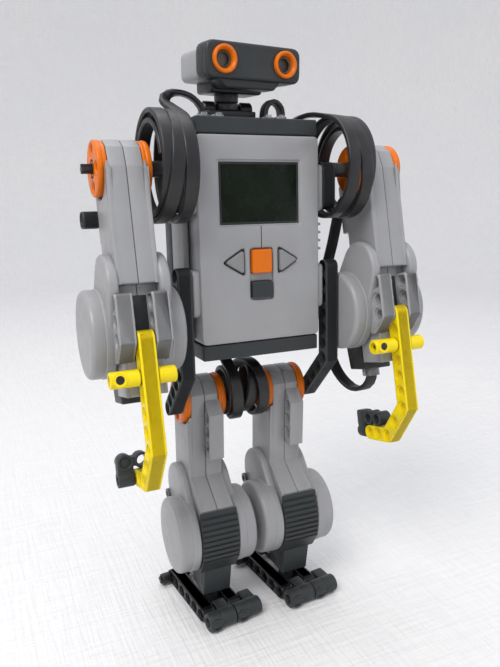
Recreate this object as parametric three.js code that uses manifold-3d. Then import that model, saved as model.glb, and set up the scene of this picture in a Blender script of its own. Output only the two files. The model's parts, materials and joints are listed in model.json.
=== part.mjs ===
// Humanoid robot put together from an 8 mm construction kit.
// A control brick is the torso, a two-eyed distance sensor is the head, and four geared
// motors are the arms and legs. Millimetres, +Z up, the robot faces -Y, its right side is -X.
import * as THREE from "three";
import { mergeVertices } from "three/addons/utils/BufferGeometryUtils.js";
import Module from "manifold-3d";

const wasm = await Module();
wasm.setup();

// ---- driving dimensions ----
const MODULE = 8; // hole pitch of the kit
const BEAM_HEIGHT = 7.8;
const BEAM_WIDTH = 7.4;
const HOLE_RADIUS = 2.45;
const PIN_RADIUS = 2.1; // pins and axles, loose in their holes
const GAP = 0.3; // clearance between touching pieces

const DEPTH_SHIFT = 15.06; // brings the origin to the middle of the robot's depth

// control brick, in its own frame: origin at the lower front edge of the face plate
const BRICK_ORIGIN = new THREE.Vector3(0, -22.6, 156);
const BRICK_LEAN = 0.0565; // rad, top leans back
const FACE_HALF_WIDTH = 32;
const FACE_HEIGHT = 99.2;
const BRICK_HALF_WIDTH = 35.7;
const BRICK_DEPTH = 42;
const SPLIT_DEPTH = 21; // where the front and rear shells meet
const BAND_BOTTOM = -7.7;
const BAND_TOP = 107;
const WALL = 2;

const SCREEN = { x: 0, z: 72.1, width: 42, height: 29 };
const ENTER_BUTTON = { x: 0, z: 39.6, width: 10.6, height: 11.6 };
const BACK_BUTTON = { x: 0, z: 25.8, width: 11.2, height: 8.2 };
const ARROW_BUTTON = { x: 14.6, z: 39.6, width: 9.8, height: 11.8 };
const BUTTON_PROUD = 1.1;
const BUTTON_DEPTH = 7;

// hip and shoulder beams, in the brick's frame
const HIP_BEAM_DEPTH = 4;
const HIP_BEAM_TOP_HOLE = 34.3;
const HIP_BEAM_BEND = HIP_BEAM_TOP_HOLE - 6 * MODULE;
const BEAM_INNER_X = 36.3;
const SHOULDER_AXIS = { y: 6.9, z: 83.5 };
const SHOULDER_BEAM_HOLES = 3;

// motors: each has its own frame, with the origin on the hub's axis
const HIP = { x: 24, y: 9.85, z: 119.1 };
const SHOULDER_X = 66;
const ARM_PITCH = 0.262; // rad, the lower end hangs forward
const HUB_RADIUS = 12.4;
const HUB_HALF_WIDTH = 12;
const HUB_INNER = 7.8;
const NECK_WAIST = 7.5; // half width between the two hub plates
const SPINDLE_RADIUS = 3.6;
const NECK_HALF_WIDTH = 9.5;
const NECK_FRONT = -10.9;
const NECK_BACK = 13;
const DRUM = { y: -12.5, z: -72, radius: 20.7, inner: 10.8, outer: 21.5 };
const LOBE = { y: 1, z: -52, radius: 14.2, half_width: 14 };
const WRAP_HALF_WIDTH = 10.4;
const WRAP_RIDGES = 9;
const TWIN_HOLES_Y = 12.5;
const TWIN_TOP_HOLE = -60.5;
const RIB_FRONT = 17.2;
const RIB_WIDTH = 8.4; // the rib stands on the half to the left of the seam only
const RIB_HOLES_Y = -13.2;
const RIB_TOP_HOLE = -7.5;
const TAIL_BOTTOM = -105;

// forearm, in the arm's frame: origin on the shoulder axis, z along the arm
const FOREARM_Y = -12.5;
const FOREARM_TOP = -76.5;
const CROSS_BAR_Z = FOREARM_TOP - 2 * MODULE;
const BARREL_RADIUS = 3.7;

// feet, each in its own frame: origin on the floor below the leg
const FOOT = { y: 0.4, turn: 0.113 };
const FOOT_BEAM_HOLES = 6;
const TOE_RADIUS = 4.9;

// head, in its own frame: origin between the two eyes, on the sensor's front
const HEAD = { x: 0, y: -7.5, z: 288.6 };
const EYE_SPACING = 34;
const EYE_RING = { outer: 6.4, inner: 4 };
const NECK_X = -4;
const NECK_Y = 14;
const NECK_POST_RADIUS = 6.2;
const HEAD_YAW = 0.13; // rad, the head looks a little to its left

const COLOURS = {
  light: 0xb4b5b9,
  dark: 0x474d4f,
  black: 0x17181a,
  yellow: 0xd8c200,
  orange: 0xef7f10,
  screen: 0x10160f,
  board: 0x1d5a34,
  battery: 0x8a8f96,
};

// ---- outlines ----
function polygon(points) {
  return new THREE.Shape(points.map(([a, b]) => new THREE.Vector2(a, b)));
}

function disc(a, b, radius) {
  const shape = new THREE.Shape();
  shape.absarc(a, b, radius, 0, 2 * Math.PI, false);
  return shape;
}

function roundedRect(a0, b0, a1, b1, r) {
  const shape = new THREE.Shape();
  shape.moveTo(a0 + r, b0);
  shape.lineTo(a1 - r, b0);
  shape.absarc(a1 - r, b0 + r, r, -Math.PI / 2, 0, false);
  shape.lineTo(a1, b1 - r);
  shape.absarc(a1 - r, b1 - r, r, 0, Math.PI / 2, false);
  shape.lineTo(a0 + r, b1);
  shape.absarc(a0 + r, b1 - r, r, Math.PI / 2, Math.PI, false);
  shape.lineTo(a0, b0 + r);
  shape.absarc(a0 + r, b0 + r, r, Math.PI, 1.5 * Math.PI, false);
  return shape;
}

// Two circles wrapped by a tight band.
function taperedSlot(a1, b1, r1, a2, b2, r2) {
  const base = Math.atan2(b2 - b1, a2 - a1);
  const spread = Math.acos((r1 - r2) / Math.hypot(a2 - a1, b2 - b1));
  const shape = new THREE.Shape();
  shape.absarc(a1, b1, r1, base + spread, base - spread + 2 * Math.PI, false);
  shape.absarc(a2, b2, r2, base - spread, base + spread, false);
  return shape;
}

// A beam's side view: a line of holes that may bend, round at both ends.
function beamOutline(line, holes) {
  const r = BEAM_HEIGHT / 2;
  const points = line.map(([a, b]) => new THREE.Vector2(a, b));
  const left = [];
  const right = [];
  const last = points.length - 1;
  for (let i = 0; i <= last; i++) {
    const before = points[Math.min(i + 1, last)].clone().sub(points[Math.min(i, last - 1)]);
    const after = points[Math.max(i, 1)].clone().sub(points[Math.max(i - 1, 0)]);
    before.normalize();
    after.normalize();
    const mean = before.clone().add(after).normalize();
    const reach = r / mean.dot(before);
    const side = new THREE.Vector2(-mean.y, mean.x).multiplyScalar(reach);
    left.push(points[i].clone().add(side));
    right.push(points[i].clone().sub(side));
  }
  const angle = (from, to) => Math.atan2(to.y - from.y, to.x - from.x);
  const startAngle = angle(points[0], left[0]);
  const endAngle = angle(points[last], right[last]);
  const shape = new THREE.Shape();
  shape.absarc(points[0].x, points[0].y, r, startAngle, startAngle + Math.PI, false);
  right.slice(1, last).forEach((p) => shape.lineTo(p.x, p.y));
  shape.absarc(points[last].x, points[last].y, r, endAngle, endAngle + Math.PI, false);
  left.slice(1, last).reverse().forEach((p) => shape.lineTo(p.x, p.y));
  holes.forEach(([a, b]) => {
    const hole = new THREE.Path();
    hole.absarc(a, b, HOLE_RADIUS, 0, 2 * Math.PI, true);
    shape.holes.push(hole);
  });
  return shape;
}

// Hole centres one module apart from one point towards another, both included.
function holesAlong([a0, b0], [a1, b1]) {
  const count = Math.round(Math.hypot(a1 - a0, b1 - b0) / MODULE);
  const list = [];
  for (let i = 0; i <= count; i++) {
    list.push([a0 + ((a1 - a0) * i) / count, b0 + ((b1 - b0) * i) / count]);
  }
  return list;
}

// ---- solids ----
function prism(shape, from, to, bevel, segments) {
  const geometry = new THREE.ExtrudeGeometry(shape, {
    depth: to - from - 2 * bevel,
    bevelEnabled: bevel > 0,
    bevelThickness: bevel,
    bevelSize: bevel,
    bevelOffset: -bevel,
    bevelSegments: 1,
    curveSegments: segments,
  });
  geometry.translate(0, 0, from + bevel);
  return geometry;
}

const basisX = new THREE.Matrix4().makeBasis(
  new THREE.Vector3(0, 1, 0),
  new THREE.Vector3(0, 0, 1),
  new THREE.Vector3(1, 0, 0),
);
const basisY = new THREE.Matrix4().makeBasis(
  new THREE.Vector3(1, 0, 0),
  new THREE.Vector3(0, 0, 1),
  new THREE.Vector3(0, -1, 0),
);

// The outline's plane is (y, z) and it runs from x0 to x1.
function alongX(shape, x0, x1, { bevel = 0, segments = 6 } = {}) {
  return prism(shape, x0, x1, bevel, segments).applyMatrix4(basisX);
}

// The outline's plane is (x, z) and it runs from y0 to y1.
function alongY(shape, y0, y1, { bevel = 0, segments = 6 } = {}) {
  return prism(shape, -y1, -y0, bevel, segments).applyMatrix4(basisY);
}

// The outline's plane is (x, y) and it runs from z0 to z1.
function alongZ(shape, z0, z1, { bevel = 0, segments = 6 } = {}) {
  return prism(shape, z0, z1, bevel, segments);
}

// A turned piece about the X axis through (y, z); the profile is [radius, x] pairs.
function turnedX(profile, y, z, segments = 20) {
  const points = profile.map(([r, x]) => new THREE.Vector2(r, x));
  const geometry = new THREE.LatheGeometry(points, segments);
  geometry.rotateZ(-Math.PI / 2);
  geometry.translate(0, y, z);
  return geometry;
}

function block(x0, x1, y0, y1, z0, z1) {
  const geometry = new THREE.BoxGeometry(x1 - x0, y1 - y0, z1 - z0);
  geometry.translate((x0 + x1) / 2, (y0 + y1) / 2, (z0 + z1) / 2);
  return geometry;
}

function toSolid(geometry) {
  const bare = geometry.clone();
  bare.deleteAttribute("normal");
  bare.deleteAttribute("uv");
  const merged = mergeVertices(bare, 1e-4);
  const mesh = new wasm.Mesh({
    numProp: 3,
    vertProperties: new Float32Array(merged.attributes.position.array),
    triVerts: new Uint32Array(merged.index.array),
  });
  return new wasm.Manifold(mesh);
}

function toGeometry(solid) {
  const mesh = solid.getMesh();
  const geometry = new THREE.BufferGeometry();
  geometry.setAttribute("position", new THREE.BufferAttribute(mesh.vertProperties, 3));
  geometry.setIndex(new THREE.BufferAttribute(mesh.triVerts, 1));
  geometry.computeVertexNormals();
  return geometry;
}

// Joins the first list of geometries and cuts the second list from it.
function carve(joined, removed = []) {
  let solid = toSolid(joined[0]);
  joined.slice(1).forEach((g) => (solid = solid.add(toSolid(g))));
  removed.forEach((g) => (solid = solid.subtract(toSolid(g))));
  return toGeometry(solid);
}

function boreX(y, z, radius, x0, x1, segments = 5) {
  return alongX(disc(y, z, radius), x0, x1, { segments });
}

function boreY(x, z, radius, y0, y1, segments = 5) {
  return alongY(disc(x, z, radius), y0, y1, { segments });
}

// ---- scene graph helpers ----
function piece(parent, name, geometry, colour, roughness = 0.45) {
  const material = new THREE.MeshStandardMaterial({
    color: COLOURS[colour],
    roughness,
    metalness: 0,
  });
  const mesh = new THREE.Mesh(geometry, material);
  mesh.name = name;
  parent.add(mesh);
  return mesh;
}

function frameAt(parent, x, y, z) {
  const group = new THREE.Group();
  group.position.set(x, y, z);
  parent.add(group);
  return group;
}

const robot = new THREE.Group();
robot.position.y = DEPTH_SHIFT;
const brick = frameAt(robot, BRICK_ORIGIN.x, BRICK_ORIGIN.y, BRICK_ORIGIN.z);
brick.rotation.x = -BRICK_LEAN;

// ---- control brick ----
const insetRect = (part, grow) =>
  roundedRect(
    part.x - part.width / 2 - grow,
    part.z - part.height / 2 - grow,
    part.x + part.width / 2 + grow,
    part.z + part.height / 2 + grow,
    1.2,
  );

// An arrow button points away from the middle; side is -1 for left and 1 for right.
function arrowOutline(side, grow) {
  const { x, z, width, height } = ARROW_BUTTON;
  const base = x - width / 2 - grow;
  const tip = x + width / 2 + 1.6 * grow;
  const rise = height / 2 + 1.6 * grow;
  const points = [
    [side * base, z - rise],
    [side * tip, z],
    [side * base, z + rise],
  ];
  return polygon(side > 0 ? points : points.reverse());
}

const frontOutline = roundedRect(-FACE_HALF_WIDTH, GAP, FACE_HALF_WIDTH, FACE_HEIGHT - GAP, 3);
const frontHollow = block(
  -FACE_HALF_WIDTH + WALL,
  FACE_HALF_WIDTH - WALL,
  WALL,
  SPLIT_DEPTH + 1,
  WALL + GAP,
  FACE_HEIGHT - WALL - GAP,
);
const ears = [];
for (const side of [-1, 1]) {
  for (const [z0, z1] of [
    [14, 36.5],
    [63, 86],
  ]) {
    const outline = roundedRect(1.5, z0, 13, z1, 2.5);
    const x0 = side > 0 ? FACE_HALF_WIDTH - 1 : -BRICK_HALF_WIDTH;
    ears.push(alongX(outline, x0, x0 + BRICK_HALF_WIDTH - FACE_HALF_WIDTH + 1, { segments: 2 }));
  }
}
piece(
  brick,
  "brick_front_shell",
  carve(
    [alongY(frontOutline, 0, SPLIT_DEPTH - GAP / 2, { segments: 4 }), ...ears],
    [
      frontHollow,
      alongY(insetRect(SCREEN, 0), -1, WALL + 1, { segments: 2 }),
      alongY(insetRect(ENTER_BUTTON, GAP), -1, WALL + 1, { segments: 2 }),
      alongY(insetRect(BACK_BUTTON, GAP), -1, WALL + 1, { segments: 2 }),
      alongY(arrowOutline(-1, GAP), -1, WALL + 1),
      alongY(arrowOutline(1, GAP), -1, WALL + 1),
    ],
  ),
  "light",
);

// The rear shell carries the dark bands above and below the face plate.
const bandDepth = [0.6, BRICK_DEPTH];
piece(
  brick,
  "brick_rear_shell",
  carve(
    [
      alongY(
        roundedRect(-BRICK_HALF_WIDTH, BAND_BOTTOM, BRICK_HALF_WIDTH, BAND_TOP, 3),
        SPLIT_DEPTH + GAP / 2,
        BRICK_DEPTH,
        { segments: 3 },
      ),
      block(-31, 31, ...bandDepth, BAND_BOTTOM, -GAP / 2),
      block(-31, 31, ...bandDepth, FACE_HEIGHT + GAP / 2, BAND_TOP),
    ],
    [
      block(
        -BRICK_HALF_WIDTH + WALL,
        BRICK_HALF_WIDTH - WALL,
        SPLIT_DEPTH - 1,
        BRICK_DEPTH - WALL,
        BAND_BOTTOM + WALL,
        BAND_TOP - WALL,
      ),
    ],
  ),
  "dark",
  0.5,
);

const screenOutline = insetRect(SCREEN, -GAP);
piece(brick, "display_panel", alongY(screenOutline, 0.9, 3.4, { segments: 2 }), "screen", 0.15);
piece(brick, "circuit_board", block(-28, 28, 11.4, 13, 4, 95), "board");
piece(brick, "battery_pack", block(-29, 29, SPLIT_DEPTH + 3, BRICK_DEPTH - WALL - 0.5, 8, 72), "battery");

const buttonSpan = [-BUTTON_PROUD, BUTTON_DEPTH - BUTTON_PROUD];
const buttonCorners = { segments: 2 };
piece(brick, "enter_button", alongY(insetRect(ENTER_BUTTON, 0), ...buttonSpan, buttonCorners), "orange");
piece(brick, "back_button", alongY(insetRect(BACK_BUTTON, 0), ...buttonSpan, buttonCorners), "dark");
piece(brick, "left_button", alongY(arrowOutline(-1, 0), ...buttonSpan), "light");
piece(brick, "right_button", alongY(arrowOutline(1, 0), ...buttonSpan), "light");

// ---- beams and hubs fixed to the brick ----
const diagonal = Math.SQRT1_2 * 4 * MODULE;
const hipLine = [
  [HIP_BEAM_DEPTH, HIP_BEAM_TOP_HOLE],
  [HIP_BEAM_DEPTH, HIP_BEAM_BEND],
  [HIP_BEAM_DEPTH + diagonal, HIP_BEAM_BEND - diagonal],
];
const hipHoles = [
  ...holesAlong(hipLine[0], hipLine[1]),
  ...holesAlong(hipLine[1], hipLine[2]).slice(1),
];
const shoulderBeamBottom = SHOULDER_AXIS.z - (SHOULDER_BEAM_HOLES - 1) * MODULE;
const shoulderLine = [
  [SHOULDER_AXIS.y, SHOULDER_AXIS.z],
  [SHOULDER_AXIS.y, shoulderBeamBottom],
];

function hubGeometry() {
  const profile = [
    [0, -HUB_HALF_WIDTH],
    [HUB_RADIUS, -HUB_HALF_WIDTH],
    [HUB_RADIUS, -HUB_INNER],
    [SPINDLE_RADIUS, -HUB_INNER],
    [SPINDLE_RADIUS, HUB_INNER],
    [HUB_RADIUS, HUB_INNER],
    [HUB_RADIUS, HUB_HALF_WIDTH],
    [0, HUB_HALF_WIDTH],
  ];
  return carve([turnedX(profile, 0, 0, 20)], [boreX(0, 0, HOLE_RADIUS, -20, 20, 4)]);
}

// The axle stands out past the hub on the outer side; its collar fills the space to the beam.
function shoulderAxle(side) {
  const profile = [
    [0, BEAM_INNER_X],
    [PIN_RADIUS, BEAM_INNER_X],
    [PIN_RADIUS, BEAM_INNER_X + BEAM_WIDTH + GAP],
    [BARREL_RADIUS, BEAM_INNER_X + BEAM_WIDTH + GAP],
    [BARREL_RADIUS, SHOULDER_X - HUB_HALF_WIDTH - GAP],
    [PIN_RADIUS, SHOULDER_X - HUB_HALF_WIDTH - GAP],
    [PIN_RADIUS, SHOULDER_X + HUB_HALF_WIDTH + 5],
    [0, SHOULDER_X + HUB_HALF_WIDTH + 5],
  ];
  const points = side > 0 ? profile : profile.map(([r, x]) => [r, -x]).reverse();
  return turnedX(points, SHOULDER_AXIS.y, SHOULDER_AXIS.z, 10);
}

const SIDES = { right: -1, left: 1 };
for (const [label, side] of Object.entries(SIDES)) {
  const x0 = side > 0 ? BEAM_INNER_X : -BEAM_INNER_X - BEAM_WIDTH;
  piece(
    brick,
    `hip_beam_${label}`,
    alongX(beamOutline(hipLine, hipHoles), x0, x0 + BEAM_WIDTH, { segments: 4 }),
    "dark",
  );
  const shoulderOutline = beamOutline(shoulderLine, holesAlong(...shoulderLine));
  piece(
    brick,
    `shoulder_beam_${label}`,
    alongX(shoulderOutline, x0, x0 + BEAM_WIDTH, { segments: 4 }),
    "dark",
  );
  piece(brick, `shoulder_axle_${label}`, shoulderAxle(side), "dark");
  const hub = piece(brick, `shoulder_hub_${label}`, hubGeometry(), "orange");
  hub.position.set(side * SHOULDER_X, SHOULDER_AXIS.y, SHOULDER_AXIS.z);
  const hipHub = piece(robot, `hip_hub_${label}`, hubGeometry(), "orange");
  hipHub.position.set(side * HIP.x, HIP.y, HIP.z);
}

// ---- motors ----
// Side view of the ribbed cover: a convex ridged front, running down into the socket block.
function gripOutline() {
  const top = [-28.6, -53.6];
  const bottom = [-33.2, -80];
  const front = [];
  for (let i = 0; i <= 2 * WRAP_RIDGES; i++) {
    const t = i / (2 * WRAP_RIDGES);
    const bulge = 2.6 * Math.sin(Math.PI * Math.pow(t, 0.8));
    const groove = i % 2 ? 0.5 : 0;
    front.push([
      top[0] + (bottom[0] - top[0]) * t - bulge + groove,
      top[1] + (bottom[1] - top[1]) * t,
    ]);
  }
  return polygon([
    ...front,
    [-27.5, -89],
    [-25, TAIL_BOTTOM],
    [-9.3, TAIL_BOTTOM],
    [-9.3, -88.4],
    [-14, -88.4],
    [-28.5, -82.4],
    [-28.5, -54.2],
  ]);
}

// Everything of the socket block below this height is narrower than the grip.
const TAIL_STEP = -89;
const TAIL_HALF_WIDTH = 8;

function gripGeometry(tongue) {
  const notch = (x0, x1) => block(x0, x1, -40, 0, TAIL_BOTTOM - 1, TAIL_STEP);
  const parts = [alongX(gripOutline(), -WRAP_HALF_WIDTH, WRAP_HALF_WIDTH)];
  if (tongue) parts.push(block(-3, 3, -18, -11, TAIL_BOTTOM - tongue, TAIL_BOTTOM + 1));
  return carve(parts, [notch(-20, -TAIL_HALF_WIDTH), notch(TAIL_HALF_WIDTH, 20)]);
}

// One half of a motor's housing; side is -1 or 1 and the seam lies at x = 0.
function housingHalf(side) {
  const span = (a, b) => (side > 0 ? [a, b] : [-b, -a]);
  const seam = GAP / 2;
  const neck = polygon([
    [NECK_BACK, -52.6],
    [NECK_BACK, -2],
    [NECK_BACK - 2.5, 7],
    [NECK_BACK - 8, 11.6],
    [0, 12],
    [-6, 10.5],
    [NECK_FRONT, 4.5],
    [NECK_FRONT, -41.5],
    [-28.2, -53.2],
    [-28.2, -82],
    [-13.8, -88],
    [-9, -88],
    [-9, -101],
    [8, -101],
    [8, -52.6],
  ].reverse());
  const wide = polygon([
    [NECK_BACK, -52.6],
    [NECK_BACK, -6],
    [NECK_FRONT, -6],
    [NECK_FRONT, -41.5],
    [-28.2, -53.2],
    [-28.2, -82],
    [-13.8, -88],
    [-9, -88],
    [-9, -101],
    [8, -101],
    [8, -52.6],
  ].reverse());
  const twin = polygon([
    [4, TWIN_TOP_HOLE + 4],
    [TWIN_HOLES_Y + 2.6, TWIN_TOP_HOLE + 4],
    [TWIN_HOLES_Y + 4, TWIN_TOP_HOLE + 2.6],
    [TWIN_HOLES_Y + 4, -78],
    [8, -86],
    [4, -86],
  ].reverse());
  const rib = polygon([
    [-8, 1.3],
    [NECK_FRONT, 1.3],
    [-RIB_FRONT, -5.5],
    [-RIB_FRONT, -30.5],
    [-8, -30.5],
  ]);
  // room for the grip cover between the two caps of the drum
  const outside = polygon([
    [-50, -53.2],
    [-50, -110],
    [-9, -110],
    [-9, -88],
    [-13.8, -88],
    [-28.2, -82],
    [-28.2, -53.2],
  ]);
  const lobe = taperedSlot(LOBE.y, LOBE.z, LOBE.radius, DRUM.y, DRUM.z, DRUM.radius - 3);
  const ribs = side > 0 ? [alongX(rib, seam, RIB_WIDTH)] : [];
  const holes = [];
  for (let i = 0; i < 3; i++) {
    const z = TWIN_TOP_HOLE - i * MODULE;
    holes.push(boreX(TWIN_HOLES_Y, z, HOLE_RADIUS, ...span(4, 13), 4));
    holes.push(boreX(RIB_HOLES_Y, RIB_TOP_HOLE - i * MODULE, HOLE_RADIUS, -1, 6, 4));
  }
  return carve(
    [
      ...ribs,
      alongX(neck, ...span(seam, NECK_WAIST)),
      alongX(wide, ...span(NECK_WAIST - 1, NECK_HALF_WIDTH)),
      alongX(lobe, ...span(NECK_HALF_WIDTH - 1, LOBE.half_width), { segments: 5 }),
      alongX(disc(DRUM.y, DRUM.z, DRUM.radius), ...span(DRUM.inner, DRUM.outer), { segments: 12 }),
      alongX(twin, ...span(4.1, 12)),
    ],
    [
      alongX(outside, ...span(0, DRUM.inner)),
      boreX(0, 0, SPINDLE_RADIUS + 0.5, -20, 20, 6),
      boreX(0, 0, HUB_RADIUS + 0.6, ...span(NECK_WAIST, 20), 10),
      ...holes,
    ],
  );
}

// One motor; facing is -1 where the whole motor is turned round to face backward.
function motor(parent, label, facing, tongue) {
  const [low, high] = facing > 0 ? ["right", "left"] : ["left", "right"];
  piece(parent, `${label}_${low}_half`, housingHalf(-1), "light");
  piece(parent, `${label}_${high}_half`, housingHalf(1), "light");
  piece(parent, `${label}_grip_cover`, gripGeometry(tongue), "dark", 0.55);
}

// ---- arms ----
const forearmBend = FOREARM_TOP - 6 * MODULE;
const forearmLine = [
  [FOREARM_Y, FOREARM_TOP],
  [FOREARM_Y, forearmBend],
  [FOREARM_Y + 2 * MODULE, forearmBend - 2 * MODULE],
  [FOREARM_Y + 4 * MODULE, forearmBend - 2 * MODULE],
];
const forearmHoles = [
  ...holesAlong(forearmLine[0], forearmLine[1]),
  [FOREARM_Y + MODULE, forearmBend - MODULE],
  ...holesAlong(forearmLine[2], forearmLine[3]),
];
const HAND_Y = forearmLine[3][0];
const HAND_Z = forearmLine[3][1];

function crossBar() {
  const profile = [
    [0, -17],
    [BARREL_RADIUS, -17],
    [BARREL_RADIUS, -4.1],
    [PIN_RADIUS, -4.1],
    [PIN_RADIUS, 4.1],
    [BARREL_RADIUS, 4.1],
    [BARREL_RADIUS, 12],
    [0, 12],
  ];
  return carve(
    [turnedX(profile, FOREARM_Y, CROSS_BAR_Z, 14)],
    [boreY(-13, CROSS_BAR_Z, HOLE_RADIUS, FOREARM_Y - 5, FOREARM_Y + 5, 4)],
  );
}

// The right hand's connector stands beside the forearm's end, its two eyes side by side.
function rightConnector() {
  const r = BEAM_HEIGHT / 2 - 0.1;
  const y0 = HAND_Y - r;
  const y1 = HAND_Y + r;
  const bar = roundedRect(-12, HAND_Z - r, -4.2, HAND_Z + MODULE + r, 2.2);
  const eyes = roundedRect(-11, HAND_Z + MODULE - r, 4, HAND_Z + MODULE + r, 3.4);
  return carve(
    [alongY(bar, y0, y1, { segments: 3 }), alongY(eyes, y0, y1, { segments: 3 })],
    [
      boreY(-8, HAND_Z + MODULE, HOLE_RADIUS, y0 - 1, y1 + 1, 4),
      boreY(0, HAND_Z + MODULE, HOLE_RADIUS, y0 - 1, y1 + 1, 4),
      boreX(HAND_Y, HAND_Z, HOLE_RADIUS, -14, -3, 4),
    ],
  );
}

// The left hand's connector stands behind the forearm's end, its eyes one behind the other.
function leftConnector() {
  const r = BEAM_HEIGHT / 2 - 0.1;
  const back = HAND_Y + MODULE;
  const bar = roundedRect(back - 3.7, HAND_Z - r, back + r, HAND_Z + MODULE + r, 2.2);
  const eyes = roundedRect(back - 2 * MODULE - r, HAND_Z + MODULE - r, back, HAND_Z + MODULE + r, 3.4);
  return carve(
    [alongX(bar, -r, r, { segments: 3 }), alongX(eyes, -r, r, { segments: 3 })],
    [
      boreX(HAND_Y, HAND_Z + MODULE, HOLE_RADIUS, -5, 5, 4),
      boreX(HAND_Y - MODULE, HAND_Z + MODULE, HOLE_RADIUS, -5, 5, 4),
      boreY(0, HAND_Z, HOLE_RADIUS, back - 5, back + 5, 4),
    ],
  );
}

const arms = {};
for (const [label, side] of Object.entries(SIDES)) {
  const arm = new THREE.Group();
  arms[label] = arm;
  arm.position.set(side * SHOULDER_X, SHOULDER_AXIS.y, SHOULDER_AXIS.z);
  arm.rotation.x = BRICK_LEAN - ARM_PITCH;
  brick.add(arm);
  const turned = new THREE.Group();
  turned.rotation.z = Math.PI;
  arm.add(turned);
  motor(turned, `arm_${label}`, -1, 0);
  piece(
    arm,
    `forearm_beam_${label}`,
    alongX(beamOutline(forearmLine, forearmHoles), -BEAM_WIDTH / 2, BEAM_WIDTH / 2, { segments: 4 }),
    "yellow",
    0.35,
  );
  piece(arm, `cross_bar_${label}`, crossBar(), "yellow", 0.35);
  const connector = side > 0 ? leftConnector() : rightConnector();
  piece(arm, `fingertip_connector_${label}`, connector, "dark");
  if (side < 0) {
    const eye = carve(
      [alongX(roundedRect(11.3, -23.3, 19, -15.6, 3.4), -16.4, -8.7, { segments: 3 })],
      [boreX(15.1, -19.5, HOLE_RADIUS, -17, -8, 4)],
    );
    piece(arm, "shoulder_connector_right", eye, "dark");
  }
}

// ---- legs and feet ----
const footFront = -2 * MODULE;
const footBack = 3 * MODULE;
const footLine = [
  [footFront, BEAM_HEIGHT / 2],
  [footBack, BEAM_HEIGHT / 2],
];

// A toe is a round bar two modules wide with a tongue that runs back beside the beam.
function toeGeometry(x0) {
  const frontY = footFront - BEAM_HEIGHT / 2 - GAP - TOE_RADIUS;
  const tongueX = x0 + MODULE + 0.5;
  return carve(
    [
      alongX(disc(frontY, TOE_RADIUS, TOE_RADIUS), x0, x0 + 2 * MODULE - 0.4, { segments: 7 }),
      block(tongueX, tongueX + 6.9, frontY, footFront + 3.5, 0.4, BEAM_HEIGHT),
    ],
    [
      boreX(footFront, BEAM_HEIGHT / 2, HOLE_RADIUS, tongueX - 1, tongueX + 8, 4),
      boreY(x0 + 3.7, TOE_RADIUS, HOLE_RADIUS, frontY - 6, frontY + 6, 4),
    ],
  );
}

const legs = {};
for (const [label, side] of Object.entries(SIDES)) {
  const leg = frameAt(robot, side * HIP.x, HIP.y, HIP.z);
  legs[label] = leg;
  motor(leg, `leg_${label}`, 1, HIP.z + TAIL_BOTTOM - 1);
  const foot = frameAt(robot, side * HIP.x, FOOT.y, 0);
  foot.rotation.z = FOOT.turn;
  const outline = beamOutline(footLine, holesAlong(...footLine));
  [-1, 1].forEach((row) => {
    const place = row < 0 ? "first" : "second";
    const x0 = row * MODULE - BEAM_WIDTH / 2 - 0.6;
    piece(
      foot,
      `foot_beam_${place}_${label}`,
      alongX(outline, x0, x0 + BEAM_WIDTH, { segments: 4 }),
      "dark",
    );
    piece(foot, `toe_${place}_${label}`, toeGeometry(x0 - 0.1), "dark");
  });
  const axle = turnedX(
    [
      [0, -19],
      [PIN_RADIUS, -19],
      [PIN_RADIUS, 14],
      [0, 14],
    ],
    footBack,
    BEAM_HEIGHT / 2,
    10,
  );
  piece(foot, `heel_axle_${label}`, axle, "black");
}

// ---- neck and head ----
const brickTop = BRICK_ORIGIN.z + BAND_TOP;
const neckBarrels = [NECK_X - 13, NECK_X + 7].map((x) =>
  turnedX(
    [
      [0, x],
      [BARREL_RADIUS, x],
      [BARREL_RADIUS, x + 6],
      [0, x + 6],
    ],
    NECK_Y,
    brickTop + 5.6,
    12,
  ),
);
const neckPlate = roundedRect(NECK_Y - 8, brickTop + 0.6, NECK_Y + 8, brickTop + 4.4, 1);
piece(
  robot,
  "neck_base",
  carve([alongX(neckPlate, NECK_X - 13, NECK_X + 13, { segments: 2 }), ...neckBarrels]),
  "black",
);

const neckAxis = frameAt(robot, NECK_X, NECK_Y, HEAD.z);
neckAxis.rotation.z = HEAD_YAW;
const head = frameAt(neckAxis, HEAD.x - NECK_X, HEAD.y - NECK_Y, 0);
const postBottom = brickTop + 4.7 - HEAD.z;
const postTop = -17;
piece(
  head,
  "neck_post",
  alongZ(disc(NECK_X, NECK_Y - HEAD.y, NECK_POST_RADIUS), postBottom, postTop - GAP),
  "black",
);

const EYE_X = EYE_SPACING / 2;
const sensorFront = [
  alongY(roundedRect(-26.5, -8.6, 26.5, 8.2, 5), 0, 11, { segments: 3 }),
  alongY(
    polygon([
      [-15, -12],
      [12, -12],
      [17, -7],
      [-21, -7],
    ]),
    2,
    11,
  ),
];
const eyePockets = [-1, 1].map((s) => boreY(s * EYE_X, 0, EYE_RING.outer + 0.5, -2, 3.4, 9));
const eyeCans = [-1, 1].map((s) => boreY(s * EYE_X, 0, EYE_RING.inner, 3, 8, 7));
piece(head, "sensor_front_shell", carve(sensorFront, [...eyePockets, ...eyeCans]), "dark", 0.5);

piece(
  head,
  "sensor_rear_shell",
  carve([
    alongY(roundedRect(-26, -8.4, 26, 6, 3), 11 + GAP, 29, { segments: 3 }),
    alongY(roundedRect(-18, -13.4, 11, -5, 2), 11 + GAP, 27, { segments: 2 }),
    alongZ(disc(NECK_X, NECK_Y - HEAD.y, NECK_POST_RADIUS), postTop, -12),
  ]),
  "light",
);

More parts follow.
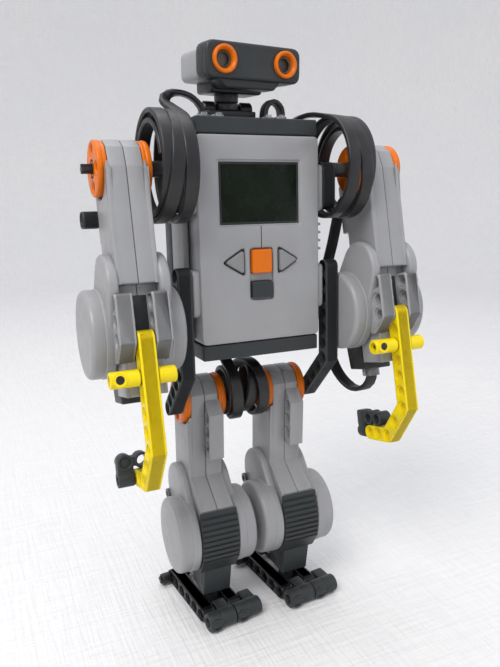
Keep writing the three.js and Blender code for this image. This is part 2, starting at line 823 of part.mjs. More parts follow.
for (const [label, side] of Object.entries(SIDES)) {
  const { outer, inner } = EYE_RING;
  const ring = new THREE.LatheGeometry(
    [
      [inner, 0.6],
      [inner + 0.9, -1.6],
      [outer - 0.8, -1.6],
      [outer, -0.7],
      [outer, 3],
      [inner, 3],
      [inner, 0.6],
    ].map(([r, y]) => new THREE.Vector2(r, y)),
    18,
  );
  piece(head, `eye_ring_${label}`, ring, "orange").position.set(side * EYE_X, 0, 0);
}

// ---- cables: flat leads, each a plain round-section solid along its route ----
const LEAD_RADIUS = 2.4;

function lead(route) {
  const curve = new THREE.CatmullRomCurve3(route.map(([x, y, z]) => new THREE.Vector3(x, y, z)));
  const steps = Math.ceil(curve.getLength() / 6);
  return new THREE.ExtrudeGeometry(disc(0, 0, LEAD_RADIUS), {
    steps,
    curveSegments: 4,
    extrudePath: curve,
  });
}

// The shoulder's winding: two and a half turns side by side, the rest coiled flat inside them.
const SHOULDER_COIL = {
  y: 5,
  z: 84.5,
  outer: 26.7,
  inner: 22.4,
  core: 13.5,
  x0: 37.2,
  step: 46.4,
  x1: 53.4,
};
for (const [label, side] of Object.entries(SIDES)) {
  const { y, z, outer, inner, core, x0, step, x1 } = SHOULDER_COIL;
  const profile = [
    [inner, x0],
    [outer, x0],
    [outer, x1],
    [core, x1],
    [core, step],
    [inner, step],
    [inner, x0],
  ];
  const points = side > 0 ? profile : profile.map(([r, x]) => [r, -x]).reverse();
  piece(brick, `shoulder_cable_${label}`, turnedX(points, y, z, 28), "black");
}

const HIP_COIL = { y: 8, z: 122, outer: 17, inner: 8, half_width: 11.4 };
const hipWinding = [
  [HIP_COIL.inner, -HIP_COIL.half_width],
  [HIP_COIL.outer, -HIP_COIL.half_width],
  [HIP_COIL.outer, HIP_COIL.half_width],
  [HIP_COIL.inner, HIP_COIL.half_width],
  [HIP_COIL.inner, -HIP_COIL.half_width],
];
piece(robot, "hip_cable", turnedX(hipWinding, HIP_COIL.y, HIP_COIL.z, 20), "black");

const neckRoute = [
  [-20, 4, 263.6],
  [-21.5, 4, 268],
  [-26, 3.5, 272.2],
  [-32, 2, 273.8],
  [-38, -1, 272.6],
  [-42.5, -4, 269.4],
];
piece(robot, "neck_cable", lead(neckRoute), "black");

// in the right leg's frame
const legRoute = [
  [15, 22, -14],
  [16, 22.5, -24],
  [16, 21.5, -40],
  [15, 22, -58],
  [11, 23.5, -74],
  [5, 24, -86],
  [1, 19, -94.5],
  [0, 11.2, -96],
];
piece(legs.right, "leg_cable_right", lead(legRoute), "black");

// in the left arm's frame
const armRoute = [
  [0, 17, -105.4],
  [0, 17, -110],
  [-2, 20, -115],
  [-6, 27, -115.5],
  [-10.5, 34, -106.5],
  [-13, 38, -90],
  [-13, 38, -70],
  [-13, 32, -50],
  [-10.5, 25, -33],
  [-8.6, 20, -20],
];
piece(arms.left, "arm_cable_left", lead(armRoute), "black");

export default robot;
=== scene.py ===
"""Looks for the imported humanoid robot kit: detailed pieces, cables, materials, light and camera.

Lengths in the piece functions are millimetres in the local frame of the sub-assembly;
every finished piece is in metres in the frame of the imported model.
"""

import json
import math

import bmesh
import bpy
from mathutils import Matrix, Vector


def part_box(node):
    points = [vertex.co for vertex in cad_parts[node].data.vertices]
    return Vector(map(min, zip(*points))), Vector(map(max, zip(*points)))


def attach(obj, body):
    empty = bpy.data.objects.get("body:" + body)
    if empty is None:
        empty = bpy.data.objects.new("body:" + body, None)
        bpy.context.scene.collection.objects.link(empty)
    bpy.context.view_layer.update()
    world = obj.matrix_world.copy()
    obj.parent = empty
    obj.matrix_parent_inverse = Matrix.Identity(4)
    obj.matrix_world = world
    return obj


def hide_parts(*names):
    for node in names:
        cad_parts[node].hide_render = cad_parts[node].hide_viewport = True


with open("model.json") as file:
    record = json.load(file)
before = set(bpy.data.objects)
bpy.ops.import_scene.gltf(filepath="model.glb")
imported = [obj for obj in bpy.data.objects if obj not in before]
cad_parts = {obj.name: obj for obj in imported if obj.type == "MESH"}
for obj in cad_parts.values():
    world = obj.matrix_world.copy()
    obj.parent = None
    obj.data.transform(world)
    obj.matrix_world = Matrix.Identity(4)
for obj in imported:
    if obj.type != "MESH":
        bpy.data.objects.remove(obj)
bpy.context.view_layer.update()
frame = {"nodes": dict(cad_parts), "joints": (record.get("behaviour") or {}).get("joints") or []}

MM = 0.001
TO_METRES = Matrix.Scale(MM, 4)
SIDES = {"right": -1, "left": 1}
joints = {joint["name"]: joint for joint in frame["joints"]}


# ---- the frames of the sub-assemblies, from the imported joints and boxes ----
def pivot(name):
    return Vector(joints[name]["pos_m"])


press = joints["enter_press"]["axis"]
BRICK_LEAN = math.atan2(-press[2], press[1])
SHOULDER_IN_BRICK = Vector((0, 6.9, 83.5)) * MM
ARM_PITCH = 0.262
FOOT_TURN = 0.113
FOOT_FORWARD = 9.45  # from the hip's axis to the foot's own origin

shoulder_middle = (pivot("shoulder_right") + pivot("shoulder_left")) / 2
BRICK = (
    Matrix.Translation(shoulder_middle)
    @ Matrix.Rotation(-BRICK_LEAN, 4, "X")
    @ Matrix.Translation(-SHOULDER_IN_BRICK)
)
ARM = {
    s: Matrix.Translation(pivot(f"shoulder_{s}")) @ Matrix.Rotation(-ARM_PITCH, 4, "X")
    for s in SIDES
}
LEG = {s: Matrix.Translation(pivot(f"hip_{s}")) for s in SIDES}
FOOT = {
    s: Matrix.Translation((pivot(f"hip_{s}").x, pivot(f"hip_{s}").y - FOOT_FORWARD * MM, 0))
    @ Matrix.Rotation(FOOT_TURN, 4, "Z")
    for s in SIDES
}


def middle_of(node):
    low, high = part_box(node)
    return (low + high) / 2


RING_MIDDLE = 0.7  # how far an eye ring's middle lies behind the sensor's front
between_eyes = middle_of("eye_ring_left") - middle_of("eye_ring_right")
EYE_X = between_eyes.length / 2 / MM
HEAD = (
    Matrix.Translation((middle_of("eye_ring_left") + middle_of("eye_ring_right")) / 2)
    @ Matrix.Rotation(math.atan2(between_eyes.y, between_eyes.x), 4, "Z")
    @ Matrix.Translation((0, -RING_MIDDLE * MM, 0))
)
neck_middle = middle_of("neck_base")
NECK = Matrix.Translation((neck_middle.x, neck_middle.y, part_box("neck_base")[0].z))

MODULE = 8
BEAM_HALF = 3.9
BEAM_WIDTH = 7.4
HOLE = 2.45
COUNTERBORE = 3.15
COUNTERBORE_DEPTH = 0.9


# ---- camera ----
def make_camera():
    data = bpy.data.cameras.new("camera")
    data.lens = 34.6
    data.sensor_width = 36
    data.clip_start = 0.01
    data.clip_end = 20
    camera = bpy.data.objects.new("camera", data)
    camera.location = (-0.1342, -0.2883, 0.2364)
    camera.rotation_euler = (math.radians(90 - 13.88), 0, math.radians(-24.31))
    bpy.context.scene.collection.objects.link(camera)
    bpy.context.scene.camera = camera


# ---- materials ----
def node_at(tree, kind, **values):
    node = tree.nodes.new(kind)
    for name, value in values.items():
        node.inputs[name].default_value = value
    return node


def stretched(tree, scale):
    coordinates = tree.nodes.new("ShaderNodeTexCoord")
    mapping = node_at(tree, "ShaderNodeMapping", Scale=scale)
    tree.links.new(coordinates.outputs["Object"], mapping.inputs["Vector"])
    return mapping.outputs["Vector"]


def noise(tree, scale, stretch=(1, 1, 1), detail=3.0):
    texture = node_at(tree, "ShaderNodeTexNoise", Scale=scale, Detail=detail)
    tree.links.new(stretched(tree, stretch), texture.inputs["Vector"])
    return texture.outputs["Fac"]


def ranged(tree, value, from_low, from_high, to_low, to_high):
    node = tree.nodes.new("ShaderNodeMapRange")
    settings = (from_low, from_high, to_low, to_high)
    for name, number in zip(("From Min", "From Max", "To Min", "To Max"), settings):
        node.inputs[name].default_value = number
    tree.links.new(value, node.inputs["Value"])
    return node.outputs["Result"]


def mixed(tree, factor, first, second):
    node = tree.nodes.new("ShaderNodeMix")
    node.data_type = "RGBA"
    tree.links.new(factor, node.inputs["Factor"])
    for socket, colour in ((node.inputs[6], first), (node.inputs[7], second)):
        if isinstance(colour, bpy.types.NodeSocket):
            tree.links.new(colour, socket)
        else:
            socket.default_value = (*colour, 1)
    return node.outputs[2]


def scaled(colour, factor):
    return tuple(min(1.0, c * factor) for c in colour)


def new_material(name):
    material = bpy.data.materials.new(name)
    material.use_nodes = True
    tree = material.node_tree
    return material, tree, tree.nodes["Principled BSDF"]


def plastic(name, colour, roughness, grain=0.25, edge_highlight_strength=0.35, coat=0.0, specular=0.5):
    """Moulded plastic: cloudy tone, fine grain, hairline scratches, and a painted highlight that
    pales the convex edges.
    """
    material, tree, shader = new_material(name)
    cloud = ranged(tree, noise(tree, 55, detail=5), 0.3, 0.7, 0, 1)
    tone = mixed(tree, cloud, scaled(colour, 0.94), scaled(colour, 1.04))
    # painted highlight: convex edges are paled to stand in for the light they catch
    edge = tree.nodes.new("ShaderNodeNewGeometry").outputs["Pointiness"]
    painted_edge_light = ranged(tree, edge, 0.52, 0.62, 0, edge_highlight_strength)
    tone = mixed(tree, painted_edge_light, tone, scaled(colour, 1.22))
    tree.links.new(tone, shader.inputs["Base Color"])
    scratch = ranged(tree, noise(tree, 70, stretch=(1, 14, 3), detail=8), 0.57, 0.66, 0, 1)
    fine = noise(tree, 2600, detail=2)
    smudge = ranged(tree, noise(tree, 130, detail=4), 0.3, 0.7, roughness - 0.05, roughness + 0.07)
    add = tree.nodes.new("ShaderNodeMath")
    add.operation = "MULTIPLY_ADD"
    add.inputs[1].default_value = 0.12
    tree.links.new(scratch, add.inputs[0])
    tree.links.new(smudge, add.inputs[2])
    tree.links.new(add.outputs[0], shader.inputs["Roughness"])
    bump = node_at(tree, "ShaderNodeBump", Strength=grain, Distance=0.00006)
    tree.links.new(fine, bump.inputs["Height"])
    scored = node_at(tree, "ShaderNodeBump", Strength=0.12, Distance=0.00005)
    scored.invert = True
    tree.links.new(scratch, scored.inputs["Height"])
    tree.links.new(bump.outputs["Normal"], scored.inputs["Normal"])
    tree.links.new(scored.outputs["Normal"], shader.inputs["Normal"])
    shader.inputs["Specular IOR Level"].default_value = specular
    shader.inputs["Coat Weight"].default_value = coat
    shader.inputs["Coat Roughness"].default_value = 0.15
    return material


def cable_sheath():
    """Soft black sheath with fine lengthwise streaks and a dusty bloom."""
    material, tree, shader = new_material("cable_sheath")
    dust = ranged(tree, noise(tree, 90, detail=6), 0.45, 0.75, 0, 1)
    tone = mixed(tree, dust, (0.007, 0.007, 0.008), (0.016, 0.016, 0.018))
    tree.links.new(tone, shader.inputs["Base Color"])
    shine = ranged(tree, noise(tree, 160, detail=4), 0.3, 0.7, 0.34, 0.50)
    tree.links.new(shine, shader.inputs["Roughness"])
    bump = node_at(tree, "ShaderNodeBump", Strength=0.3, Distance=0.0001)
    tree.links.new(noise(tree, 700, stretch=(3, 1, 1)), bump.inputs["Height"])
    tree.links.new(bump.outputs["Normal"], shader.inputs["Normal"])
    return material


def display_glass():
    """Dark window with a faint green ground, dot rows and smudges."""
    material, tree, shader = new_material("display_glass")
    patch = ranged(tree, noise(tree, 60, detail=3), 0.3, 0.7, 0, 1)
    tone = mixed(tree, patch, (0.003, 0.006, 0.003), (0.007, 0.012, 0.006))
    tree.links.new(tone, shader.inputs["Base Color"])
    smudge = ranged(tree, noise(tree, 120, detail=6), 0.4, 0.75, 0.22, 0.38)
    tree.links.new(smudge, shader.inputs["Roughness"])
    shader.inputs["Specular IOR Level"].default_value = 0.14
    dots = tree.nodes.new("ShaderNodeTexVoronoi")
    dots.inputs["Scale"].default_value = 1500
    dots.inputs["Randomness"].default_value = 0.0
    tree.links.new(stretched(tree, (1, 1, 1)), dots.inputs["Vector"])
    bump = node_at(tree, "ShaderNodeBump", Strength=0.05, Distance=0.00004)
    tree.links.new(dots.outputs["Distance"], bump.inputs["Height"])
    tree.links.new(bump.outputs["Normal"], shader.inputs["Normal"])
    return material


def sounder_mesh():
    """Fine woven metal over a transducer."""
    material, tree, shader = new_material("sounder_mesh")
    weave = tree.nodes.new("ShaderNodeTexVoronoi")
    weave.inputs["Scale"].default_value = 1500
    weave.inputs["Randomness"].default_value = 0.15
    tree.links.new(stretched(tree, (1, 0.2, 1)), weave.inputs["Vector"])
    holes = ranged(tree, weave.outputs["Distance"], 0.2, 0.5, 0, 1)
    tone = mixed(tree, holes, (0.012, 0.011, 0.010), (0.10, 0.09, 0.075))
    tree.links.new(tone, shader.inputs["Base Color"])
    shader.inputs["Metallic"].default_value = 0.6
    shader.inputs["Roughness"].default_value = 0.45
    bump = node_at(tree, "ShaderNodeBump", Strength=0.6, Distance=0.0002)
    tree.links.new(weave.outputs["Distance"], bump.inputs["Height"])
    tree.links.new(bump.outputs["Normal"], shader.inputs["Normal"])
    return material


def clear_plug():
    """Cloudy clear plastic of a cable plug."""
    material, tree, shader = new_material("clear_plug")
    haze = ranged(tree, noise(tree, 400, detail=4), 0.3, 0.7, 0, 1)
    tone = mixed(tree, haze, (0.55, 0.57, 0.60), (0.78, 0.80, 0.82))
    tree.links.new(tone, shader.inputs["Base Color"])
    shine = ranged(tree, noise(tree, 300), 0.3, 0.7, 0.12, 0.28)
    tree.links.new(shine, shader.inputs["Roughness"])
    shader.inputs["Transmission Weight"].default_value = 0.75
    return material


def circuit_green():
    material, tree, shader = new_material("circuit_green")
    tracks = tree.nodes.new("ShaderNodeTexBrick")
    tracks.inputs["Scale"].default_value = 260
    tracks.inputs["Color1"].default_value = (0.01, 0.11, 0.045, 1)
    tracks.inputs["Color2"].default_value = (0.012, 0.14, 0.055, 1)
    tracks.inputs["Mortar"].default_value = (0.10, 0.22, 0.08, 1)
    tree.links.new(stretched(tree, (1, 1, 1)), tracks.inputs["Vector"])
    tree.links.new(tracks.outputs["Color"], shader.inputs["Base Color"])
    rough = ranged(tree, noise(tree, 300), 0.3, 0.7, 0.35, 0.55)
    tree.links.new(rough, shader.inputs["Roughness"])
    return material


# ---- outlines: lists of (u, v) points ----
def arc(u, v, radius, start, end, steps=None):
    """Points of a round stretch; the angles are degrees."""
    count = steps or max(3, int(abs(end - start) / 12))
    angles = [math.radians(start + (end - start) * i / count) for i in range(count + 1)]
    return [(u + radius * math.cos(a), v + radius * math.sin(a)) for a in angles]


def disc(u, v, radius, steps=36):
    return arc(u, v, radius, 0, 360, steps)[:-1]


def rounded(points, radius, steps=4):
    """The same outline with its corners turned to arcs."""
    result = []
    count = len(points)
    for i, point in enumerate(points):
        corner = Vector(point)
        before = Vector(points[i - 1]) - corner
        after = Vector(points[(i + 1) % count]) - corner
        angle = before.angle(after)
        reach = radius / math.tan(angle / 2)
        reach = min(reach, 0.45 * before.length, 0.45 * after.length)
        start = corner + before.normalized() * reach
        end = corner + after.normalized() * reach
        for k in range(steps + 1):
            t = k / steps
            a = start.lerp(corner, t)
            b = corner.lerp(end, t)
            result.append(tuple(a.lerp(b, t)))
    return result


def rectangle(u0, v0, u1, v1, radius=0.0):
    corners = [(u0, v0), (u1, v0), (u1, v1), (u0, v1)]
    return rounded(corners, radius) if radius else corners


def tapered_slot(u1, v1, r1, u2, v2, r2):
    """Two circles wrapped by a tight band."""
    base = math.degrees(math.atan2(v2 - v1, u2 - u1))
    spread = math.degrees(math.acos((r1 - r2) / math.hypot(u2 - u1, v2 - v1)))
    first = arc(u1, v1, r1, base + spread, base - spread + 360, 20)
    return first + arc(u2, v2, r2, base - spread, base + spread, 20)


def beam_outline(line, radius=BEAM_HALF):
    """A line of holes that may bend, round at both ends."""
    points = [Vector(p) for p in line]
    left, right = [], []
    last = len(points) - 1
    for i, point in enumerate(points):
        ahead = (points[min(i + 1, last)] - points[min(i, last - 1)]).normalized()
        behind = (points[max(i, 1)] - points[max(i - 1, 0)]).normalized()
        mean = (ahead + behind).normalized()
        side = Vector((-mean.y, mean.x)) * (radius / mean.dot(ahead))
        left.append(point + side)
        right.append(point - side)
    first = left[0] - points[0]
    start = math.degrees(math.atan2(first.y, first.x))
    final = right[last] - points[last]
    end = math.degrees(math.atan2(final.y, final.x))
    outline = arc(*points[0], radius, start, start + 180, 14)
    outline += [tuple(p) for p in right[1:last]]
    outline += arc(*points[last], radius, end, end + 180, 14)
    return outline + [tuple(p) for p in reversed(left[1:last])]


def holes_along(start, end):
    count = round(math.dist(start, end) / MODULE)
    return [tuple(Vector(start).lerp(Vector(end), i / count)) for i in range(count + 1)]


# ---- solids: each is a bmesh in the local frame ----
# (u, v, w) to (x, y, z), by the axis that w runs along
ALONG = {
    "X": Matrix(((0, 0, 1, 0), (1, 0, 0, 0), (0, 1, 0, 0), (0, 0, 0, 1))),
    "Y": Matrix(((1, 0, 0, 0), (0, 0, 1, 0), (0, 1, 0, 0), (0, 0, 0, 1))),
    "Z": Matrix.Identity(4),
}


class Shape:
    """Collects closed bodies that make up one piece."""

    def __init__(self):
        self.bm = bmesh.new()

    def take(self, mesh, axis):
        mesh.transform(ALONG[axis])
        self.bm.from_mesh(mesh)
        bpy.data.meshes.remove(mesh)
        return self

    def plate(self, axis, outline, low, high, bevel=0.4, holes=(), steps=2):
        """A flat outline with holes, as thick as low to high, with rounded rims."""
        curve = bpy.data.curves.new("outline", "CURVE")
        curve.dimensions = "2D"
        curve.fill_mode = "BOTH"
        curve.extrude = (high - low) / 2 - bevel
        curve.bevel_depth = bevel
        curve.bevel_resolution = steps - 1
        curve.offset = -bevel
        for points in [outline, *holes]:
            spline = curve.splines.new("POLY")
            spline.points.add(len(points) - 1)
            for target, (u, v) in zip(spline.points, points):
                target.co = (u, v, 0, 1)
            spline.use_cyclic_u = True
        flat = bpy.data.objects.new("outline", curve)
        mesh = bpy.data.meshes.new_from_object(flat)
        bpy.data.objects.remove(flat)
        bpy.data.curves.remove(curve)
        mesh.transform(Matrix.Translation((0, 0, (low + high) / 2)))
        return self.take(mesh, axis)

    def turned(self, axis, profile, u=0.0, v=0.0, steps=40):
        """A profile of (radius, w) points, turned about the axis through (u, v)."""
        mesh = bpy.data.meshes.new("turned")
        vertices, faces = [], []
        count = len(profile)
        for i in range(steps):
            angle = 2 * math.pi * i / steps
            for radius, w in profile:
                vertices.append((u + radius * math.cos(angle), v + radius * math.sin(angle), w))
        for i in range(steps):
            for k in range(count - 1):
                a, b = i * count + k, (i + 1) % steps * count + k
                faces.append((a, b, b + 1, a + 1))
        mesh.from_pydata(vertices, [], faces)
        return self.take(mesh, axis)

    def round_bar(self, axis, u, v, radius, low, high, fillet=0.5, steps=40):
        return self.turned(axis, rim(radius, low, high, fillet), u, v, steps)

    def mesh(self, name, place):
        bmesh.ops.remove_doubles(self.bm, verts=self.bm.verts, dist=0.0005)
        bmesh.ops.recalc_face_normals(self.bm, faces=self.bm.faces)
        mesh = bpy.data.meshes.new(name)
        self.bm.to_mesh(mesh)
        self.bm.free()
        mesh.transform(place @ TO_METRES)
        return mesh


QUARTER_TURN = [math.radians(90) * i / 4 for i in range(5)]


def rim(radius, low, high, fillet):
    """Profile of a disc with rounded rims, from axis to axis."""
    inner = radius - fillet
    middle = low + fillet
    lower = [(inner + fillet * math.sin(a), middle - fillet * math.cos(a)) for a in QUARTER_TURN]
    upper = [(r, low + high - w) for r, w in reversed(lower)]
    return [(0, low), *lower, *upper, (0, high)]


def add_piece(name, shape, place, material, body, slot, replaces=()):
    mesh = shape.mesh(name, place)
    mesh.polygons.foreach_set("use_smooth", [True] * len(mesh.polygons))
    mesh.set_sharp_from_angle(angle=math.radians(32))
    mesh.materials.append(material)
    piece = bpy.data.objects.new(name, mesh)
    bpy.context.scene.collection.objects.link(piece)
    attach(piece, body)
    if replaces:
        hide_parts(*replaces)
    return piece


# ---- cables ----
CABLE_WIDTH = 6.4
CABLE_THICKNESS = 2.4


def through(points, spacing=2.5):
    """A smooth line through given points, sampled about every spacing millimetres."""
    knots = [Vector(p) for p in points]
    knots = [2 * knots[0] - knots[1], *knots, 2 * knots[-1] - knots[-2]]
    line = []
    for a, b, c, d in zip(knots, knots[1:], knots[2:], knots[3:]):
        count = max(1, round((c - b).length / spacing))
        for i in range(count):
            t = i / count
            line.append(
                0.5
                * (
                    2 * b
                    + (c - a) * t
                    + (2 * a - 5 * b + 4 * c - d) * t * t
                    + (3 * b - a - 3 * c + d) * t**3
                )
            )
    return [*line, knots[-2]]


def flat_cable(name, line, widths, body, exit_point, replaces):
    """A flat cable along line; widths gives the direction of its width at each point."""
    half_width = CABLE_WIDTH / 2
    half_thickness = CABLE_THICKNESS / 2
    section = rectangle(-half_width, -half_thickness, half_width, half_thickness, 1.0)
    vertices, faces = [], []
    count = len(section)
    last = len(line) - 1
    for i, point in enumerate(line):
        tangent = (line[min(i + 1, last)] - line[max(i - 1, 0)]).normalized()
        wide = (widths[i] - tangent * widths[i].dot(tangent)).normalized()
        thin = tangent.cross(wide)
        vertices += [tuple((point + wide * u + thin * v) * MM) for u, v in section]
    for i in range(last):
        for k in range(count):
            a, b = i * count + k, i * count + (k + 1) % count
            faces.append((a, b, b + count, a + count))
    faces.append(tuple(range(count)))
    faces.append(tuple(last * count + k for k in reversed(range(count))))
    mesh = bpy.data.meshes.new(name)
    mesh.from_pydata(vertices, [], faces)
    mesh.polygons.foreach_set("use_smooth", [True] * len(mesh.polygons))
    mesh.set_sharp_from_angle(angle=math.radians(50))
    mesh.materials.append(sheath)
    piece = bpy.data.objects.new(name, mesh)
    bpy.context.scene.collection.objects.link(piece)
    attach(piece, body)
    if replaces:
        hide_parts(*replaces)
    return piece


def coil_points(centre_y, centre_z, start, turns, radius_at, x_at, steps=28):
    """Points of a winding about the X axis; start is degrees from +Y towards +Z."""
    total = round(turns * steps)
    points = []
    for i in range(total + 1):
        turn = i / steps
        angle = math.radians(start) + 2 * math.pi * turn
        radius = radius_at(turn)
        points.append(
            (x_at(turn), centre_y + radius * math.cos(angle), centre_z + radius * math.sin(angle))
        )
    return points


def eased(value, low, high):
    t = min(1.0, max(0.0, (value - low) / (high - low)))
    return t * t * (3 - 2 * t)


def shoulder_cables():
    """Each shoulder's cable comes over the top of the brick and is wound about the shoulder."""
    leads = {
        "right": [
            (-20, 19, 260.5),
            (-21.5, 19, 268),
            (-26, 18.5, 272.2),
            (-32, 17, 273.8),
            (-38, 14, 272.6),
            (-42.5, 8, 268.6),
        ],
        "left": [
            (28.5, 27, 258.5),
            (30.8, 24, 262.8),
            (34.2, 19, 265.6),
            (38, 12, 266.2),
        ],
    }
    starts = {"right": 112, "left": 96}
    for label, side in SIDES.items():
        low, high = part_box(f"shoulder_cable_{label}")
        centre = (low + high) / 2 / MM
        outer = (high.z - low.z) / 2 / MM - CABLE_THICKNESS
        middle = abs(centre.x)
        reach = (high.x - low.x) / 2 / MM - CABLE_WIDTH / 2 - 0.1

        def radius_at(turn):
            wobble = 0.3 * math.sin(5.3 * turn + side)
            inward = 3.0 * eased(turn, 2.0, 2.5) + 3.2 * eased(turn, 2.6, 3.3)
            return outer + wobble - inward

        def x_at(turn):
            return side * (middle - reach + 2 * reach * eased(turn, 0.7, 1.5))

        winding = coil_points(centre.y, centre.z, starts[label], 3.15, radius_at, x_at)
        line = through([*leads[label], *winding])
        lead_length = len(through([*leads[label], winding[0]]))
        across = Vector((1, 0, 0))
        widths = [
            Vector((0.15, 1, 0)).lerp(across, eased(i, 0.25 * lead_length, lead_length))
            for i in range(len(line))
        ]
        extra = ["neck_cable"] if side < 0 else []
        flat_cable(
            f"shoulder_lead_{label}",
            line,
            widths,
            "torso",
            line[0],
            [f"shoulder_cable_{label}", *extra],
        )


def top_loop():
    """A short lead that stands in a loop between two sockets on top of the brick."""
    knots = [
        (12.2, 19, 255),
        (12.2, 19, 266.5),
        (13.8, 19, 270.6),
        (17, 19, 272.3),
        (20.2, 19, 270.6),
        (21.8, 19, 266.5),
        (21.8, 19, 255),
    ]
    line = through(knots, 1.5)
    flat_cable("top_loop", line, [Vector((0, 1, 0))] * len(line), "torso", line[0], [])


def hip_cables():
    """A lead from the underside of the brick, wound in two crossing layers between the hips."""
    low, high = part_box("hip_cable")
    centre = (low + high) / 2 / MM
    outer = (high.z - low.z) / 2 / MM - 1.6
    reach = (high.x - low.x) / 2 / MM - CABLE_WIDTH / 2 - 0.1

    def radius_at(turn):
        return outer + 0.2 * math.sin(4 * turn) - 3.0 * eased(turn, 1.4, 1.9)

    def x_at(turn):
        across = eased(turn, 0.1, 1.3) - eased(turn, 1.7, 3.0)
        return reach * (2 * across - 1)

    winding = coil_points(centre.y, centre.z, 100, 3.5, radius_at, x_at)
    entry = [(-reach, 31, 147.5), (-reach, 30.5, 143)]
    line = through([*entry, *winding[2:]])
    across = [Vector((1, 0, 0))] * len(line)
    flat_cable("hip_lead", line, across, "torso", line[0], ["hip_cable"])


def limb_cable(name, place, route, body, node):
    """A run of cable from a limb's socket; the route is in the limb's own frame."""
    frame_mm = place.copy()
    frame_mm.translation /= MM
    line = through([frame_mm @ Vector(point) for point in route])
    across = [Vector((1, 0, 0))] * len(line)
    flat_cable(name, line, across, body, line[0], [node])


def limb_cables():
    """The runs behind the right thigh and behind the left arm."""
    thigh = [
        (0, 11.2, -96),
        (1, 19, -94.5),
        (5, 24, -86),
        (11, 23.5, -74),
        (15, 22, -58),
        (16, 21.5, -40),
        (16, 22.5, -24),
        (14.5, 21.5, -14),
        (11, 18, -7),
        (5.5, 12, -3.5),
    ]
    limb_cable("thigh_lead", LEG["right"], thigh, "leg_right", "leg_cable_right")
    behind_arm = [
        (0, 17, -105.4),
        (0, 17, -110),
        (-2, 20, -115),
        (-6, 27, -115.5),
        (-10.5, 34, -106.5),
        (-13, 38, -90),
        (-13, 38, -70),
        (-13, 32, -50),
        (-10.5, 25, -33),
        (-8.6, 20, -20),
        (-6.8, 18, -14),
        (-4.5, 13.5, -10),
    ]
    limb_cable("arm_lead", ARM["left"], behind_arm, "arm_left", "arm_cable_left")


# ---- motors ----
HUB_RADIUS = 12.4
HUB_HALF = 12
HUB_INNER = 7.8
NECK_WAIST = 7.5
NECK_HALF = 9.5
NECK_FRONT = -10.9
NECK_BACK = 13
DRUM = Vector((-12.5, -72))
DRUM_RADIUS = 20.7
DRUM_INNER = 10.8
DRUM_OUTER = 21.5
LOBE = Vector((1, -52))
LOBE_RADIUS = 14.2
LOBE_HALF = 14
TWIN_Y = 12.5
TWIN_TOP = -60.5
RIB_FRONT = 17.2
RIB_HOLES_Y = -13.2
RIB_TOP = -7.5
RIB_WIDTH = 8.4
TAIL_BOTTOM = -105
RIDGES = 9

# the front line of a motor's side view, from the neck down to the tail
LOWER_SIDE = [
    (NECK_FRONT, -41.5), (-27.6, -53.2), (-27.6, -82), (-13.8, -88), (-9, -88),
    (-9, -101), (8, -101), (8, -52.6),
]


def side_span(side, near, far):
    return (near, far) if side > 0 else (-far, -near)


def counterbored(shape, axis, outline, low, high, centres, bevel=0.4):
    """A plate whose holes are wider for a little way in from both faces."""
    wide = [disc(u, v, COUNTERBORE, 24) for u, v in centres]
    narrow = [disc(u, v, HOLE, 20) for u, v in centres]
    depth = COUNTERBORE_DEPTH
    shape.plate(axis, outline, low, high, bevel, wide)
    shape.plate(axis, outline, low + depth, high - depth, 0.12, narrow, 1)
    return shape


